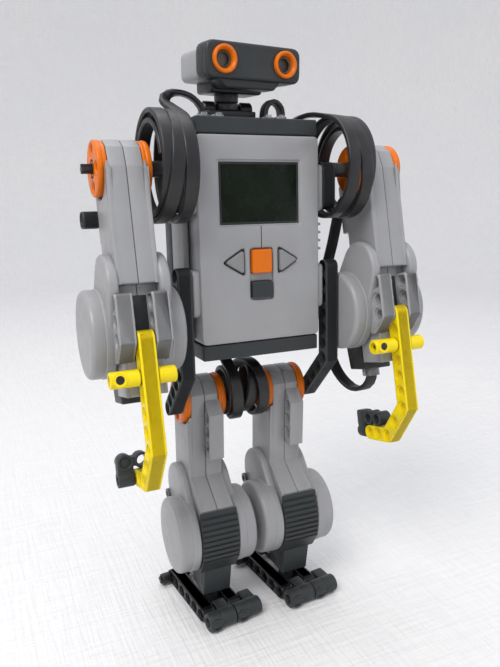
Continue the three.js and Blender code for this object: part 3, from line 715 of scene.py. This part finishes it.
def motor_housing(label, place, body, pins):
    """Both halves of a motor's housing; a pin is its number, its side and its hole."""
    shape = Shape()
    neck_top = [(NECK_BACK, -2), (10.5, 7), (5, 11.6), (0, 12), (-6, 10.5), (NECK_FRONT, 4.5)]
    neck = rounded([(NECK_BACK, -52.6), *neck_top, *LOWER_SIDE], 1.0)
    shoulder = [(u, v) for u, v in arc(0, 0, HUB_RADIUS + 0.9, 0, -147, 14)]
    wide = [(NECK_BACK, -52.6), *shoulder, *LOWER_SIDE]
    lobe = tapered_slot(*LOBE, LOBE_RADIUS, *DRUM, DRUM_RADIUS - 3)
    twin = rounded(
        [(4, TWIN_TOP + 4), (TWIN_Y + 4, TWIN_TOP + 4), (TWIN_Y + 4, -78), (8, -86), (4, -86)], 1.6
    )
    rib = rounded(
        [(-8, 1.3), (NECK_FRONT, 1.3), (-RIB_FRONT, -5.5), (-RIB_FRONT, -30.5), (-8, -30.5)], 0.6
    )
    twin_holes = [(TWIN_Y, TWIN_TOP - i * MODULE) for i in range(3)]
    rib_holes = [(RIB_HOLES_Y, RIB_TOP - i * MODULE) for i in range(3)]
    for side in (-1, 1):
        shape.plate("X", neck, *side_span(side, 0.14, NECK_WAIST), 0.35)
        shape.plate("X", wide, *side_span(side, NECK_WAIST - 0.6, NECK_HALF), 0.9, steps=3)
        shape.plate("X", lobe, *side_span(side, NECK_HALF - 0.6, LOBE_HALF), 1.5, steps=3)
        ring = rim(DRUM_RADIUS, DRUM_INNER, 15.2, 0.5)
        cap = rim(DRUM_RADIUS - 0.35, 12.4, DRUM_OUTER, 2.2)
        for profile in (ring, cap):
            shape.turned("X", [(r, side * w) for r, w in profile], *DRUM, steps=72)
        counterbored(shape, "X", twin, *side_span(side, 4.15, 12), twin_holes, 0.7)
    shape.plate("X", rib, 0.14, RIB_WIDTH - 2, 0.3, [disc(*c, 2.9, 24) for c in rib_holes])
    shape.plate("X", rib, RIB_WIDTH - 2.4, RIB_WIDTH, 0.6, steps=3)
    halves = [f"{label}_right_half", f"{label}_left_half"]
    add_piece(f"{label}_housing", shape, place, light_grey, body, "light_plastic", halves)

    # dark strip between the twin walls, and painted shade at the bottom of the rib's holes
    dark = Shape()
    dark.plate("X", rectangle(5, -85.5, 8.2, TWIN_TOP + 3.4, 0.6), -3.9, 3.9, 0.3)
    # painted shade: a dark disc at the bottom of each of the rib's holes makes the hole read deep
    for y, z in rib_holes:
        dark.round_bar("X", y, z, HOLE, RIB_WIDTH - 3.6, RIB_WIDTH - 1, 0.1, 20)
    add_piece(f"{label}_inner_strip_and_hole_shade", dark, place, dark_grey, body, "dark_plastic")

    for number, side, hole in pins:
        pin = Shape()
        y, z = twin_holes[hole]
        low, high = side_span(side, 12.1, 15.4)
        pin.turned("X", tube(1.5, 2.9, low, high), y, z, 24)
        pin.turned("X", [(0, low + 1), (1.7, low + 1), (1.7, high - 1), (0, high - 1)], y, z, 20)
        add_piece(f"{label}_pin_{number}", pin, place, mid_grey, body, "light_plastic")


def motor_cover(label, place, body, tongue):
    """The ridged dark cover, running down into the socket block."""
    top = Vector((-28.6, -53.8))
    bottom = Vector((-33.2, -80))
    steps = 6 * RIDGES
    front = []
    for i in range(steps + 1):
        t = i / steps
        bulge = 2.6 * math.sin(math.pi * t**0.8)
        groove = 0.95 if i % 6 in (0, 5) and 0 < i < steps else 0
        point = top.lerp(bottom, t)
        front.append((point.x - bulge + groove, point.y))
    back = [(-9.3, -88.4), (-14, -88.4), (-28.3, -82.4), (-28.3, -54.2)]
    shape = Shape()
    shape.plate("X", [*front, (-27.5, -89), *back], -10.4, 10.4, 0.25)
    tail = rounded([(-27.5, -88.4), (-25, TAIL_BOTTOM), (-9.3, TAIL_BOTTOM), (-9.3, -88.6)], 1.0)
    shape.plate("X", tail, -8, 8, 0.8, steps=3)
    socket = rounded([(-24.8, -90), (-24.2, -99), (-11, -99), (-11, -90)], 0.8)
    shape.plate("X", socket, -8.4, 8.4, 0.4)
    if tongue:
        shape.plate("Z", rectangle(-3, -18, 3, -11, 0.5), TAIL_BOTTOM - tongue, TAIL_BOTTOM + 1, 0.3)
    replaced = [f"{label}_grip_cover"]
    add_piece(f"{label}_cover", shape, place, dark_grey, body, "dark_plastic", replaced)


def tube(inner, outer, low, high):
    """Closed profile of a plain tube."""
    return [(inner, low), (outer, low), (outer, high), (inner, high), (inner, low)]


def hub(name, place, node):
    """Two hub plates on one spindle, each with four holes round an axle hole."""
    shape = Shape()
    bore = disc(0, 0, HOLE, 24)
    quarters = [math.radians(a) for a in (0, 90, 180, 270)]
    centres = [(MODULE * math.cos(a), MODULE * math.sin(a)) for a in quarters]
    holes = [*(disc(u, v, HOLE + 0.3, 24) for u, v in centres), bore]
    outline = disc(0, 0, HUB_RADIUS, 64)
    backing = disc(0, 0, HUB_RADIUS - 0.3, 64)
    collar = [
        (HOLE + 0.1, 9),
        (4.2, 9),
        (4.2, HUB_HALF),
        (3.8, HUB_HALF),
        (HOLE + 0.3, HUB_HALF),
        (HOLE + 0.1, 9),
    ]
    for side in (-1, 1):
        shape.plate("X", outline, *side_span(side, 9.2, HUB_HALF), 0.9, holes, steps=3)
        shape.plate("X", backing, *side_span(side, HUB_INNER, 9.6), 0.4, [bore])
        shape.turned("X", [(r, side * w) for r, w in collar], steps=32)
    reach = HUB_INNER + 0.2
    shape.turned("X", tube(HOLE, 3.6, -reach, reach), steps=28)
    add_piece(name, shape, place, orange, "torso", "orange", [node])


def axle_shape(shape, axis, u, v, low, high, radius=2.1):
    """A cross-section axle: two crossed bars with rounded rims."""
    arm = 0.85
    cross = [
        (arm, arm), (arm, radius), (-arm, radius), (-arm, arm), (-radius, arm), (-radius, -arm),
        (-arm, -arm), (-arm, -radius), (arm, -radius), (arm, -arm), (radius, -arm), (radius, arm),
    ]
    return shape.plate(axis, [(u + a, v + b) for a, b in cross], low, high, 0.15, steps=1)


# ---- torso ----
FACE_HALF = 32
FACE_TOP = 99.2
BRICK_HALF = 35.7
BRICK_BACK = 42
SPLIT = 21
BAND_LOW = -7.7
BAND_HIGH = 107
SCREEN = (-21, 57.6, 21, 86.6)
ENTER = (-5.3, 33.8, 5.3, 45.4)
BACK = (-5.6, 21.7, 5.6, 29.9)
ARROW_BASE = 9.7
ARROW_TIP = 19.5
ARROW_Z = 39.6
ARROW_RISE = 5.9
BUTTON_PROUD = 1.1


def grown(box, by):
    return (box[0] - by, box[1] - by, box[2] + by, box[3] + by)


def arrow(side, by):
    points = [
        (side * (ARROW_BASE - by), ARROW_Z - ARROW_RISE - 1.6 * by),
        (side * (ARROW_TIP + 1.6 * by), ARROW_Z),
        (side * (ARROW_BASE - by), ARROW_Z + ARROW_RISE + 1.6 * by),
    ]
    return rounded(points, 1.2)


def brick_front():
    """The face shell with its ears, the recesses round the keys, and the display."""
    channel = (ENTER[0] - 0.9, BACK[1] - 1.0, ENTER[2] + 0.9, ENTER[3] + 0.7)
    openings = [
        rectangle(*grown(SCREEN, 0.9), 1.2),
        rectangle(*channel, 1.6),
        arrow(-1, 0.8),
        arrow(1, 0.8),
    ]
    plate = rectangle(-FACE_HALF, 0.3, FACE_HALF, FACE_TOP - 0.3, 2.6)
    shape = Shape()
    shape.plate("Y", plate, 0, 3, 0.7, openings, steps=3)
    hollow = rectangle(-FACE_HALF + 2, 2.4, FACE_HALF - 2, FACE_TOP - 2.4, 1.5)
    shape.plate("Y", plate, 2.8, SPLIT - 0.15, 0.3, [hollow])
    for side in (-1, 1):
        for z0, z1 in ((14, 36.5), (63, 86)):
            low, high = side_span(side, FACE_HALF - 1, BRICK_HALF)
            shape.plate("X", rectangle(1.5, z0, 13, z1, 2.6), low, high, 1.3, steps=3)
    for i in range(4):
        z = 43.5 + 4.1 * i
        shape.plate("Z", rectangle(FACE_HALF - 1, 3, FACE_HALF + 3, 18, 0.4), z, z + 1.3, 0.25)
    add_piece("face_shell", shape, BRICK, light_grey, "torso", "light_plastic", ["brick_front_shell"])

    floor = Shape()
    key_holes = [rectangle(*grown(key, 0.15), 1.2) for key in (ENTER, BACK)]
    window_hole = rectangle(*grown(SCREEN, 0.1), 0.8)
    floor.plate("Y", rectangle(*grown(channel, 1.0), 1.6), 1.5, 2.9, 0.2, key_holes)
    floor.plate("Y", rectangle(*grown(SCREEN, 1.6), 1.2), 0.65, 2.2, 0.25, [window_hole])
    add_piece("button_channel", floor, BRICK, light_grey, "torso", "light_plastic")

    # painted shade: black sheets behind the gaps round the arrow keys make the gaps read dark; the
    # thin dark line above the enter key is in the same piece
    backing = Shape()
    for side in (-1, 1):
        backing.plate("Y", arrow(side, 1.8), 1.2, 2.6, 0.1, [arrow(side, 0.1)], steps=1)
    backing.plate("Y", rectangle(-0.22, 46.2, 0.22, 56.6), -0.03, 0.8, 0.02, steps=1)
    add_piece("arrow_gap_shade_and_line", backing, BRICK, black, "torso", "dark_plastic")

    panel = Shape()
    panel.plate("Y", rectangle(*grown(SCREEN, -0.2), 0.6), 0.9, 3.4, 0.3)
    add_piece("display_window", panel, BRICK, display, "torso", "screen", ["display_panel"])
    bezel = Shape()
    seen_window = rectangle(*grown(SCREEN, -1.0), 0.6)
    bezel.plate("Y", rectangle(*SCREEN, 0.6), 0.75, 1.4, 0.15, [seen_window], steps=1)
    add_piece("display_bezel", bezel, BRICK, black, "torso", "screen")


def keys():
    """Each key moves on its own body."""
    outlines = {
        "enter": (rectangle(*ENTER, 1.2), orange, "orange"),
        "back": (rectangle(*BACK, 1.2), dark_grey, "dark_plastic"),
        "left": (arrow(-1, 0), mid_light, "light_plastic"),
        "right": (arrow(1, 0), mid_light, "light_plastic"),
    }
    for name, (outline, material, slot) in outlines.items():
        shape = Shape()
        shape.plate("Y", outline, -BUTTON_PROUD, 5.9, 0.7, steps=3)
        add_piece(f"{name}_key_cap", shape, BRICK, material, f"{name}_key", slot, [f"{name}_button"])


def brick_back():
    """The dark rear shell with its bands, the light middle shell and the plugs on top."""
    shape = Shape()
    for low, high in ((BAND_LOW, -0.1), (FACE_TOP + 0.1, BAND_HIGH)):
        band = rectangle(-FACE_HALF + 0.4, low, FACE_HALF - 0.4, high, 0.8)
        shape.plate("Y", band, 0.7, SPLIT + 1, 0.8, steps=3)
    body = rectangle(-BRICK_HALF, BAND_LOW, BRICK_HALF, BAND_HIGH, 3)
    shape.plate("Y", body, 31.2, BRICK_BACK, 1.2, steps=3)
    # grip lines of the battery door and its latch
    door = rectangle(-26, 4, 26, 78, 3)
    shape.plate("Y", door, BRICK_BACK - 1, BRICK_BACK + 0.7, 0.5, [rectangle(-8, 68, 8, 75, 2)])
    for i in range(5):
        z = 12 + 4 * i
        shape.plate("Y", rectangle(-16, z, 16, z + 1.6, 0.7), BRICK_BACK, BRICK_BACK + 1.2, 0.35)
    add_piece("back_shell", shape, BRICK, dark_grey, "torso", "dark_plastic", ["brick_rear_shell"])

    middle = Shape()
    ring = rectangle(-BRICK_HALF, 1, BRICK_HALF, FACE_TOP - 1, 3)
    hollow = rectangle(-BRICK_HALF + 3, 4, BRICK_HALF - 3, FACE_TOP - 4, 1.5)
    middle.plate("Y", ring, 13.2, 31, 0.7, [hollow])
    add_piece("middle_shell", middle, BRICK, light_grey, "torso", "light_plastic")

    # clear plugs along the top edge, each with its latch
    plugs = Shape()
    bottom = BAND_HIGH - 0.6
    for i, x in enumerate((-22, -14.5, 12, 19.5)):
        plug = rectangle(x - 2.9, 14.6, x + 2.9, 23.4, 0.8)
        latch = rectangle(x - 1.4, 13.6, x + 1.4, 15.2, 0.4)
        plugs.plate("Z", plug, bottom, BAND_HIGH + 2.6 + 0.3 * (i % 2), 0.4)
        plugs.plate("Z", latch, bottom, BAND_HIGH + 3.6, 0.2)
    add_piece("top_plugs", plugs, BRICK, clear, "torso", "light_plastic")


HIP_DEPTH = 4
HIP_TOP = 34.3
HIP_BEND = HIP_TOP - 6 * MODULE
HIP_SLOPE = 22.63  # four modules along the diagonal
HIP_LINE = [
    (HIP_DEPTH, HIP_TOP),
    (HIP_DEPTH, HIP_BEND),
    (HIP_DEPTH + HIP_SLOPE, HIP_BEND - HIP_SLOPE),
]
BEAM_NEAR = 36.3


def beam(line, holes, low):
    return counterbored(Shape(), "X", beam_outline(line), low, low + BEAM_WIDTH, holes)


def bracket(name, line, holes, side, node):
    low = min(side_span(side, BEAM_NEAR, BEAM_NEAR + BEAM_WIDTH))
    add_piece(name, beam(line, holes, low), BRICK, dark_grey, "torso", "dark_plastic", [node])


def shoulder_shaft(label, side):
    axle = Shape()
    y = SHOULDER_IN_BRICK.y / MM
    z = SHOULDER_IN_BRICK.z / MM
    axle.round_bar("X", y, z, 3.7, *side_span(side, 44, 53.7), 0.5, 28)
    axle_shape(axle, "X", y, z, *side_span(side, 36.4, 82.9))
    name = f"shoulder_shaft_{label}"
    replaced = [f"shoulder_axle_{label}"]
    add_piece(name, axle, BRICK, dark_metal, "torso", "dark_plastic", replaced)


def beams_and_hubs():
    upper = holes_along(HIP_LINE[0], HIP_LINE[1])
    lower = holes_along(HIP_LINE[1], HIP_LINE[2])[1:]
    shoulder_line = [(6.9, 83.5), (6.9, 67.5)]
    shoulder_holes = holes_along(*shoulder_line)
    leaning = Matrix.Rotation(-BRICK_LEAN, 4, "X")
    for label, side in SIDES.items():
        bracket(f"hip_bracket_{label}", HIP_LINE, [*upper, *lower], side, f"hip_beam_{label}")
        name = f"shoulder_bracket_{label}"
        bracket(name, shoulder_line, shoulder_holes, side, f"shoulder_beam_{label}")
        shoulder_shaft(label, side)
        hub_place = Matrix.Translation(pivot(f"shoulder_{label}")) @ leaning
        hub(f"shoulder_disc_{label}", hub_place, f"shoulder_hub_{label}")
        hub(f"hip_disc_{label}", LEG[label], f"hip_hub_{label}")


# ---- arms ----
FOREARM_Y = -12.5
FOREARM_TOP = -76.5
FOREARM_BEND = FOREARM_TOP - 6 * MODULE
HAND = Vector((FOREARM_Y + 4 * MODULE, FOREARM_BEND - 2 * MODULE))
FOREARM_LINE = [
    (FOREARM_Y, FOREARM_TOP),
    (FOREARM_Y, FOREARM_BEND),
    (FOREARM_Y + 2 * MODULE, HAND.y),
    (HAND.x, HAND.y),
]
CROSS_Z = FOREARM_TOP - 2 * MODULE
CROSS_EYE_X = -13
CROSS_ENDS = ((-17, -4.1), (4.1, 12))
BARREL_RADIUS = 3.7


def barrel(low, high, rise=0.4):
    """Closed profile of a hollow barrel; rise is how far its rims slope along its length."""
    bore = 2.3
    face = BARREL_RADIUS - 0.4
    return [
        (bore, low),
        (face, low),
        (BARREL_RADIUS, low + rise),
        (BARREL_RADIUS, high - rise),
        (face, high),
        (bore, high),
        (bore, low),
    ]


def plugged(radius, low, high):
    """Profile of the core that closes a bore, from axis to axis."""
    return [(0, low), (radius, low), (radius, high), (0, high)]


def cross_bar(label):
    """The round connector through the forearm, with an eye near its longer end."""
    body = f"arm_{label}"
    shape = Shape()
    for low, high in CROSS_ENDS:
        shape.turned("X", barrel(low, high), FOREARM_Y, CROSS_Z, 36)
        shape.turned("X", plugged(2.4, low + 1.6, high - 1.6), FOREARM_Y, CROSS_Z, 24)
    shape.round_bar("X", FOREARM_Y, CROSS_Z, 2.1, -4.5, 4.5, 0.2, 24)
    front = FOREARM_Y - 3.95
    shape.turned("Y", tube(1.9, 3.0, front, front + 0.65), CROSS_EYE_X, CROSS_Z, 24)
    name = f"cross_connector_{label}"
    add_piece(name, shape, ARM[label], yellow, body, "yellow", [f"cross_bar_{label}"])
    hole = Shape()
    hole.round_bar("Y", CROSS_EYE_X, CROSS_Z, 1.9, front + 0.2, front + 0.65, 0.05, 20)
    for x in (-15.6, 10.6):
        axle_shape(hole, "X", FOREARM_Y, CROSS_Z, x, x + 0.3, 1.9)
    add_piece(f"cross_connector_bores_{label}", hole, ARM[label], black, body, "yellow")


def finger_eyes(shape, axis, centres, low, high):
    """Round eyes in a row, joined by narrow bridges."""
    radius = BEAM_HALF - 0.1
    for u, v in centres:
        shape.plate(axis, disc(u, v, radius, 40), low, high, 0.5, [disc(u, v, HOLE, 24)], steps=3)
    for (u0, v0), (u1, _) in zip(centres, centres[1:]):
        near, far = sorted((u0, u1))
        bridge = rectangle(near + radius - 0.9, v0 - 2.2, far - radius + 0.9, v0 + 2.2)
        shape.plate(axis, bridge, low + 0.4, high - 0.4, 0.3)


def hands():
    """The fingertip connectors, which differ: two eyes side by side, and two in a row."""
    r = BEAM_HALF - 0.1
    y, z = HAND
    top = z + MODULE
    right = Shape()
    finger_eyes(right, "Y", [(-8, top), (0, top)], y - r, y + r)
    right.plate("X", disc(y, z, r, 40), -11.9, -4.2, 0.5, [disc(y, z, HOLE, 24)], steps=3)
    web = rectangle(-11.7, z + 1.5, -4.3, top - 1.5)
    right.plate("Y", web, y - 3, y + 3, 0.4, [disc(-8, top, HOLE, 24)])

    left = Shape()
    back = y + MODULE
    finger_eyes(left, "X", [(y, top), (y - MODULE, top)], -r, r)
    left.plate("Y", disc(0, z, r, 40), back - 3.7, back + r, 0.5, [disc(0, z, HOLE, 24)], steps=3)
    left.plate("X", rectangle(back - 3.6, z + 2, back + r, top + r, 2), -3, 3, 0.5, steps=3)
    left.plate("X", rectangle(y + 2.6, top - 2.2, back, top + 2.2), -2.8, 2.8, 0.3)

    for label, shape in (("right", right), ("left", left)):
        name = f"finger_block_{label}"
        replaced = [f"fingertip_connector_{label}"]
        add_piece(name, shape, ARM[label], dark_grey, f"arm_{label}", "dark_plastic", replaced)


def arm_plug():
    """The clear plug, with its latch, in the socket under the left arm's motor."""
    top = TAIL_BOTTOM + 0.3
    plug = Shape()
    plug.plate("Z", rectangle(-3.6, 13.4, 3.6, 20.6, 1), -109.2, top, 0.4)
    plug.plate("Z", rectangle(-1.2, 20, 1.2, 21.6, 0.5), -107.6, top, 0.2)
    add_piece("arm_plug", plug, ARM["left"], clear, "arm_left", "light_plastic")


def back_connector():
    """The small connector pinned beside the rib behind the right shoulder."""
    shape = Shape()
    outline = rectangle(11.3, -23.3, 19, -15.6, 3.2)
    counterbored(shape, "X", outline, -16.4, -8.7, [(15.15, -19.45)], 0.6)
    replaced = ["shoulder_connector_right"]
    add_piece("back_connector", shape, ARM["right"], dark_grey, "arm_right", "dark_plastic", replaced)


def arms():
    forearm_holes = [
        *holes_along(FOREARM_LINE[0], FOREARM_LINE[1]),
        (FOREARM_Y + MODULE, FOREARM_BEND - MODULE),
        *holes_along(FOREARM_LINE[2], FOREARM_LINE[3]),
    ]
    for label in SIDES:
        body = f"arm_{label}"
        turned = ARM[label] @ Matrix.Rotation(math.pi, 4, "Z")
        motor_housing(body, turned, body, [])
        motor_cover(body, turned, body, 0)
        forearm = beam(FOREARM_LINE, forearm_holes, -BEAM_WIDTH / 2)
        replaced = [f"forearm_beam_{label}"]
        add_piece(f"forearm_{label}", forearm, ARM[label], yellow, body, "yellow", replaced)
        cross_bar(label)
    hands()
    arm_plug()
    back_connector()


# ---- legs and feet ----
FOOT_FRONT = -16
FOOT_BACK = 24
TOE_RADIUS = 4.9


def toe(name, label, x0, node):
    """A round bar two modules wide, with a tongue that runs back beside the beam."""
    front = FOOT_FRONT - BEAM_HALF - 0.3 - TOE_RADIUS
    radius = TOE_RADIUS - 0.05
    inner_end = x0 + MODULE - 0.6
    outer_end = x0 + 2 * MODULE - 0.4
    shape = Shape()
    shape.round_bar("X", front, TOE_RADIUS, radius, inner_end, outer_end, 0.7, 40)
    walls = disc(front, TOE_RADIUS, radius, 40)
    shape.plate("X", walls, x0, x0 + MODULE - 0.3, 0.6, [disc(front, TOE_RADIUS, HOLE, 24)])
    tongue = x0 + MODULE + 0.5
    back = FOOT_FRONT + 3.4
    outline = rounded([(front, 0.5), (back, 0.5), (back, 7.7), (front, 7.7)], 1.6)
    hole = disc(FOOT_FRONT, BEAM_HALF, HOLE, 24)
    shape.plate("X", outline, tongue, tongue + 6.9, 0.5, [hole], steps=3)
    ring_middle = front - TOE_RADIUS + 0.35
    ring = tube(2.5, 3.6, ring_middle - 0.25, ring_middle + 0.4)
    shape.turned("Y", ring, x0 + 3.7, TOE_RADIUS, 24)
    add_piece(name, shape, FOOT[label], dark_grey, f"leg_{label}", "dark_plastic", [node])


def heel(label):
    """The axle through both beams' rear ends, with its two bushes."""
    axle = Shape()
    axle_shape(axle, "X", FOOT_BACK, BEAM_HALF, -19, 14)
    for low, high in ((-18, -13), (-4, -1)):
        axle.round_bar("X", FOOT_BACK, BEAM_HALF, 3.2, low, high, 0.5, 28)
    name = f"heel_shaft_{label}"
    replaced = [f"heel_axle_{label}"]
    add_piece(name, axle, FOOT[label], black, f"leg_{label}", "dark_plastic", replaced)


def legs():
    line = [(FOOT_FRONT, BEAM_HALF), (FOOT_BACK, BEAM_HALF)]
    for label in SIDES:
        body = f"leg_{label}"
        motor_housing(body, LEG[label], body, [(1, -1, 0), (2, -1, 2)])
        motor_cover(body, LEG[label], body, 13.1)
        for place, row in (("first", -1), ("second", 1)):
            x0 = row * MODULE - BEAM_WIDTH / 2 - 0.6
            rail = beam(line, holes_along(*line), x0)
            name = f"foot_rail_{place}_{label}"
            replaced = [f"foot_beam_{place}_{label}"]
            add_piece(name, rail, FOOT[label], black, body, "black_plastic", replaced)
            toe(f"toe_bar_{place}_{label}", label, x0 - 0.1, f"toe_{place}_{label}")
        heel(label)


# ---- neck and head ----
RING_OUTER = 6.4
RING_INNER = 4
CAN_RADIUS = 3.9
NECK_IN_HEAD = (-4, 21.5)


def neck():
    """The plate and barrels fixed to the brick, and the post that turns with the head."""
    shape = Shape()
    bores = [disc(u, v, HOLE, 20) for u in (-8, 8) for v in (-4, 4)]
    shape.plate("Z", rectangle(-13, -8, 13, 8, 1.2), 0.1, 3.8, 0.5, bores)
    for x in (-13, 7):
        shape.turned("X", barrel(x, x + 6, 0.5), 0, 5, 32)
        shape.turned("X", plugged(2.4, x + 1.2, x + 4.8), 0, 5, 20)
    add_piece("neck_mount", shape, NECK, black, "torso", "dark_plastic", ["neck_base"])
    post_low, post_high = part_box("neck_post")
    tall = (post_high.z - post_low.z) / MM
    post_middle = middle_of("neck_post")
    foot = Matrix.Translation((post_middle.x, post_middle.y, post_low.z))
    post = Shape()
    post.round_bar("Z", 0, 0, 6.15, 0, tall, 0.6, 48)
    post.round_bar("Z", 0, 0, 4.6, tall - 1, tall + 1.2, 0.3, 32)
    add_piece("neck_turntable", post, foot, dark_metal, "head", "dark_plastic", ["neck_post"])


def head():
    """The sensor: its face and chin, its back, its underside, and the two eyes."""
    face_bevel = 1.4
    eyes = [disc(s * EYE_X, 0, RING_OUTER + 0.4 - face_bevel, 40) for s in (-1, 1)]
    front = Shape()
    outline = rectangle(-26.4, -8.5, 26.4, 8.1, 4.6)
    front.plate("Y", outline, 0, 4, face_bevel, eyes, steps=4)
    behind = [disc(s * EYE_X, 0, CAN_RADIUS + 0.2, 32) for s in (-1, 1)]
    front.plate("Y", outline, 2.6, 11, 1.0, behind, steps=3)
    chin = rounded([(-15, -12), (12, -12), (17, -7), (-21, -7)], 1.6)
    front.plate("Y", chin, 1.6, 11, 0.9, steps=3)
    add_piece("head_face", front, HEAD, dark_grey, "head", "dark_plastic", ["sensor_front_shell"])

    rear = Shape()
    rear.plate("Y", rectangle(-25.8, -8.3, 25.8, 5.9, 3.4), 11.2, 29, 1.8, steps=4)
    for i in range(3):
        z = -5 + 3 * i
        rear.plate("Y", rectangle(-15, z, 15, z + 1, 0.4), 28.4, 29.4, 0.2)
    add_piece("head_back", rear, HEAD, light_grey, "head", "light_plastic", ["sensor_rear_shell"])

    under = Shape()
    under.plate("Y", rectangle(-18, -13.3, 11, -6, 2), 11.2, 27, 0.9, steps=3)
    under.round_bar("Z", *NECK_IN_HEAD, 6.1, -17, -12, 0.5, 48)
    add_piece("head_underside", under, HEAD, black, "head", "dark_plastic")

    for label, side in SIDES.items():
        eye(label, side)


def eye(label, side):
    """One eye: its orange rim and the sounder inside it."""
    profile = [
        (RING_INNER, 3),
        (RING_INNER, 0.6),
        (RING_INNER + 0.25, -0.4),
        (RING_INNER + 0.8, -1.35),
        (RING_INNER + 1.2, -1.6),
        (RING_OUTER - 0.55, -1.6),
        (RING_OUTER - 0.15, -1.3),
        (RING_OUTER, -0.7),
        (RING_OUTER, 3),
        (RING_INNER, 3),
    ]
    ring = Shape()
    ring.turned("Y", profile, side * EYE_X, 0, 56)
    add_piece(f"eye_rim_{label}", ring, HEAD, orange, "head", "orange", [f"eye_ring_{label}"])
    can = Shape()
    bore = CAN_RADIUS - 0.8
    wall = [
        (bore, 6),
        (CAN_RADIUS, 6),
        (CAN_RADIUS, 1),
        (CAN_RADIUS - 0.2, 0.8),
        (bore, 1.1),
        (bore, 6),
    ]
    can.turned("Y", wall, side * EYE_X, 0, 40)
    can.round_bar("Y", side * EYE_X, 0, CAN_RADIUS - 0.6, 2.4, 6, 0.3, 40)
    add_piece(f"sounder_{label}", can, HEAD, mesh_metal, "head", "dark_plastic")


# ---- the studio ----
def stage_material():
    """Pale paper with a faint laid weave, and painted shade in the weave's hollows."""
    material, tree, shader = new_material("pale_paper")
    cloud = ranged(tree, noise(tree, 3, detail=3), 0.3, 0.7, 0, 1)
    paper = mixed(tree, cloud, (0.755, 0.755, 0.76), (0.79, 0.785, 0.78))
    shader.inputs["Roughness"].default_value = 0.85
    threads = noise(tree, 230, stretch=(0.12, 1.6, 2.4), detail=2)
    cross = noise(tree, 230, stretch=(2.0, 0.12, 0.2), detail=2)
    add = tree.nodes.new("ShaderNodeMath")
    add.operation = "ADD"
    tree.links.new(threads, add.inputs[0])
    tree.links.new(cross, add.inputs[1])
    # painted shade: the weave's hollows take a darker tone than its ridges, following the bump's
    # height
    weave_hollow_shade = ranged(tree, add.outputs[0], 0.75, 1.2, 0, 1)
    tone = mixed(tree, weave_hollow_shade, (0.73, 0.73, 0.735), paper)
    tree.links.new(tone, shader.inputs["Base Color"])
    bump = node_at(tree, "ShaderNodeBump", Strength=0.3, Distance=0.003)
    tree.links.new(add.outputs[0], bump.inputs["Height"])
    tree.links.new(bump.outputs["Normal"], shader.inputs["Normal"])
    return material


def make_stage():
    """A wide round floor that curves up into a low wall all the way round."""
    flat = 1.1
    bend = 0.7
    top = 1.3
    steps = 96
    profile = [(0.001, 0.0), (0.5, 0.0), (flat, 0.0)]
    for i in range(1, 17):
        a = math.radians(90 * i / 16)
        profile.append((flat + bend * math.sin(a), bend - bend * math.cos(a)))
    profile.append((flat + bend, top))
    count = len(profile)
    vertices = []
    faces = []
    for i in range(steps):
        angle = 2 * math.pi * i / steps
        vertices += [(r * math.cos(angle), r * math.sin(angle), z) for r, z in profile]
        for k in range(count - 1):
            a = i * count + k
            b = (i + 1) % steps * count + k
            faces.append((a, b, b + 1, a + 1))
    mesh = bpy.data.meshes.new("backdrop")
    mesh.from_pydata(vertices, [], faces)
    mesh.polygons.foreach_set("use_smooth", [True] * len(mesh.polygons))
    mesh.materials.append(stage_material())
    backdrop = bpy.data.objects.new("backdrop", mesh)
    bpy.context.scene.collection.objects.link(backdrop)


def area_light(name, place, target, size, watts, colour=(1, 1, 1)):
    data = bpy.data.lights.new(name, "AREA")
    data.size = size
    data.energy = watts
    data.color = colour
    light = bpy.data.objects.new(name, data)
    light.location = place
    light.rotation_euler = (Vector(target) - Vector(place)).to_track_quat("-Z", "Y").to_euler()
    bpy.context.scene.collection.objects.link(light)


def make_lights():
    world = bpy.data.worlds.new("studio")
    world.use_nodes = True
    background = world.node_tree.nodes["Background"]
    background.inputs["Color"].default_value = (0.94, 0.95, 1.0, 1)
    background.inputs["Strength"].default_value = 0.84
    bpy.context.scene.world = world
    middle = (0, 0, 0.15)
    area_light("key", (-0.65, -0.45, 1.05), middle, 0.6, 9.5, (1, 0.985, 0.96))
    area_light("fill", (0.9, -0.6, 0.6), middle, 1.0, 1.6, (0.94, 0.96, 1))
    area_light("top", (0.0, 0.25, 1.2), middle, 0.7, 3.2)


# ---- everything, in order ----
bpy.context.scene.view_settings.view_transform = "Standard"
make_camera()
sheath = cable_sheath()
shoulder_cables()
hip_cables()
limb_cables()
top_loop()

light_grey = plastic("light_grey_plastic", (0.285, 0.287, 0.296), 0.36, edge_highlight_strength=0.2)
mid_light = plastic("arrow_grey_plastic", (0.215, 0.217, 0.224), 0.38, edge_highlight_strength=0.2)
mid_grey = plastic("mid_grey_plastic", (0.095, 0.098, 0.102), 0.36)
dark_grey = plastic("dark_grey_plastic", (0.028, 0.032, 0.034), 0.42, edge_highlight_strength=0.2, specular=0.32)
black = plastic("black_plastic", (0.010, 0.010, 0.012), 0.34, edge_highlight_strength=0.1)
dark_metal = plastic("dark_shaft_plastic", (0.018, 0.019, 0.021), 0.30, edge_highlight_strength=0.1)
orange = plastic("orange_plastic", (0.66, 0.142, 0.001), 0.32, grain=0.15, edge_highlight_strength=0.04, specular=0.3)
yellow = plastic("yellow_plastic", (0.80, 0.62, 0.002), 0.28, grain=0.12, edge_highlight_strength=0.04, specular=0.35)
display = display_glass()
mesh_metal = sounder_mesh()
clear = clear_plug()

make_stage()
make_lights()
brick_front()
brick_back()
keys()
beams_and_hubs()
arms()
legs()
neck()
head()
for node, material in (("circuit_board", circuit_green()), ("battery_pack", mid_grey)):
    frame["nodes"][node].data.materials.clear()
    frame["nodes"][node].data.materials.append(material)
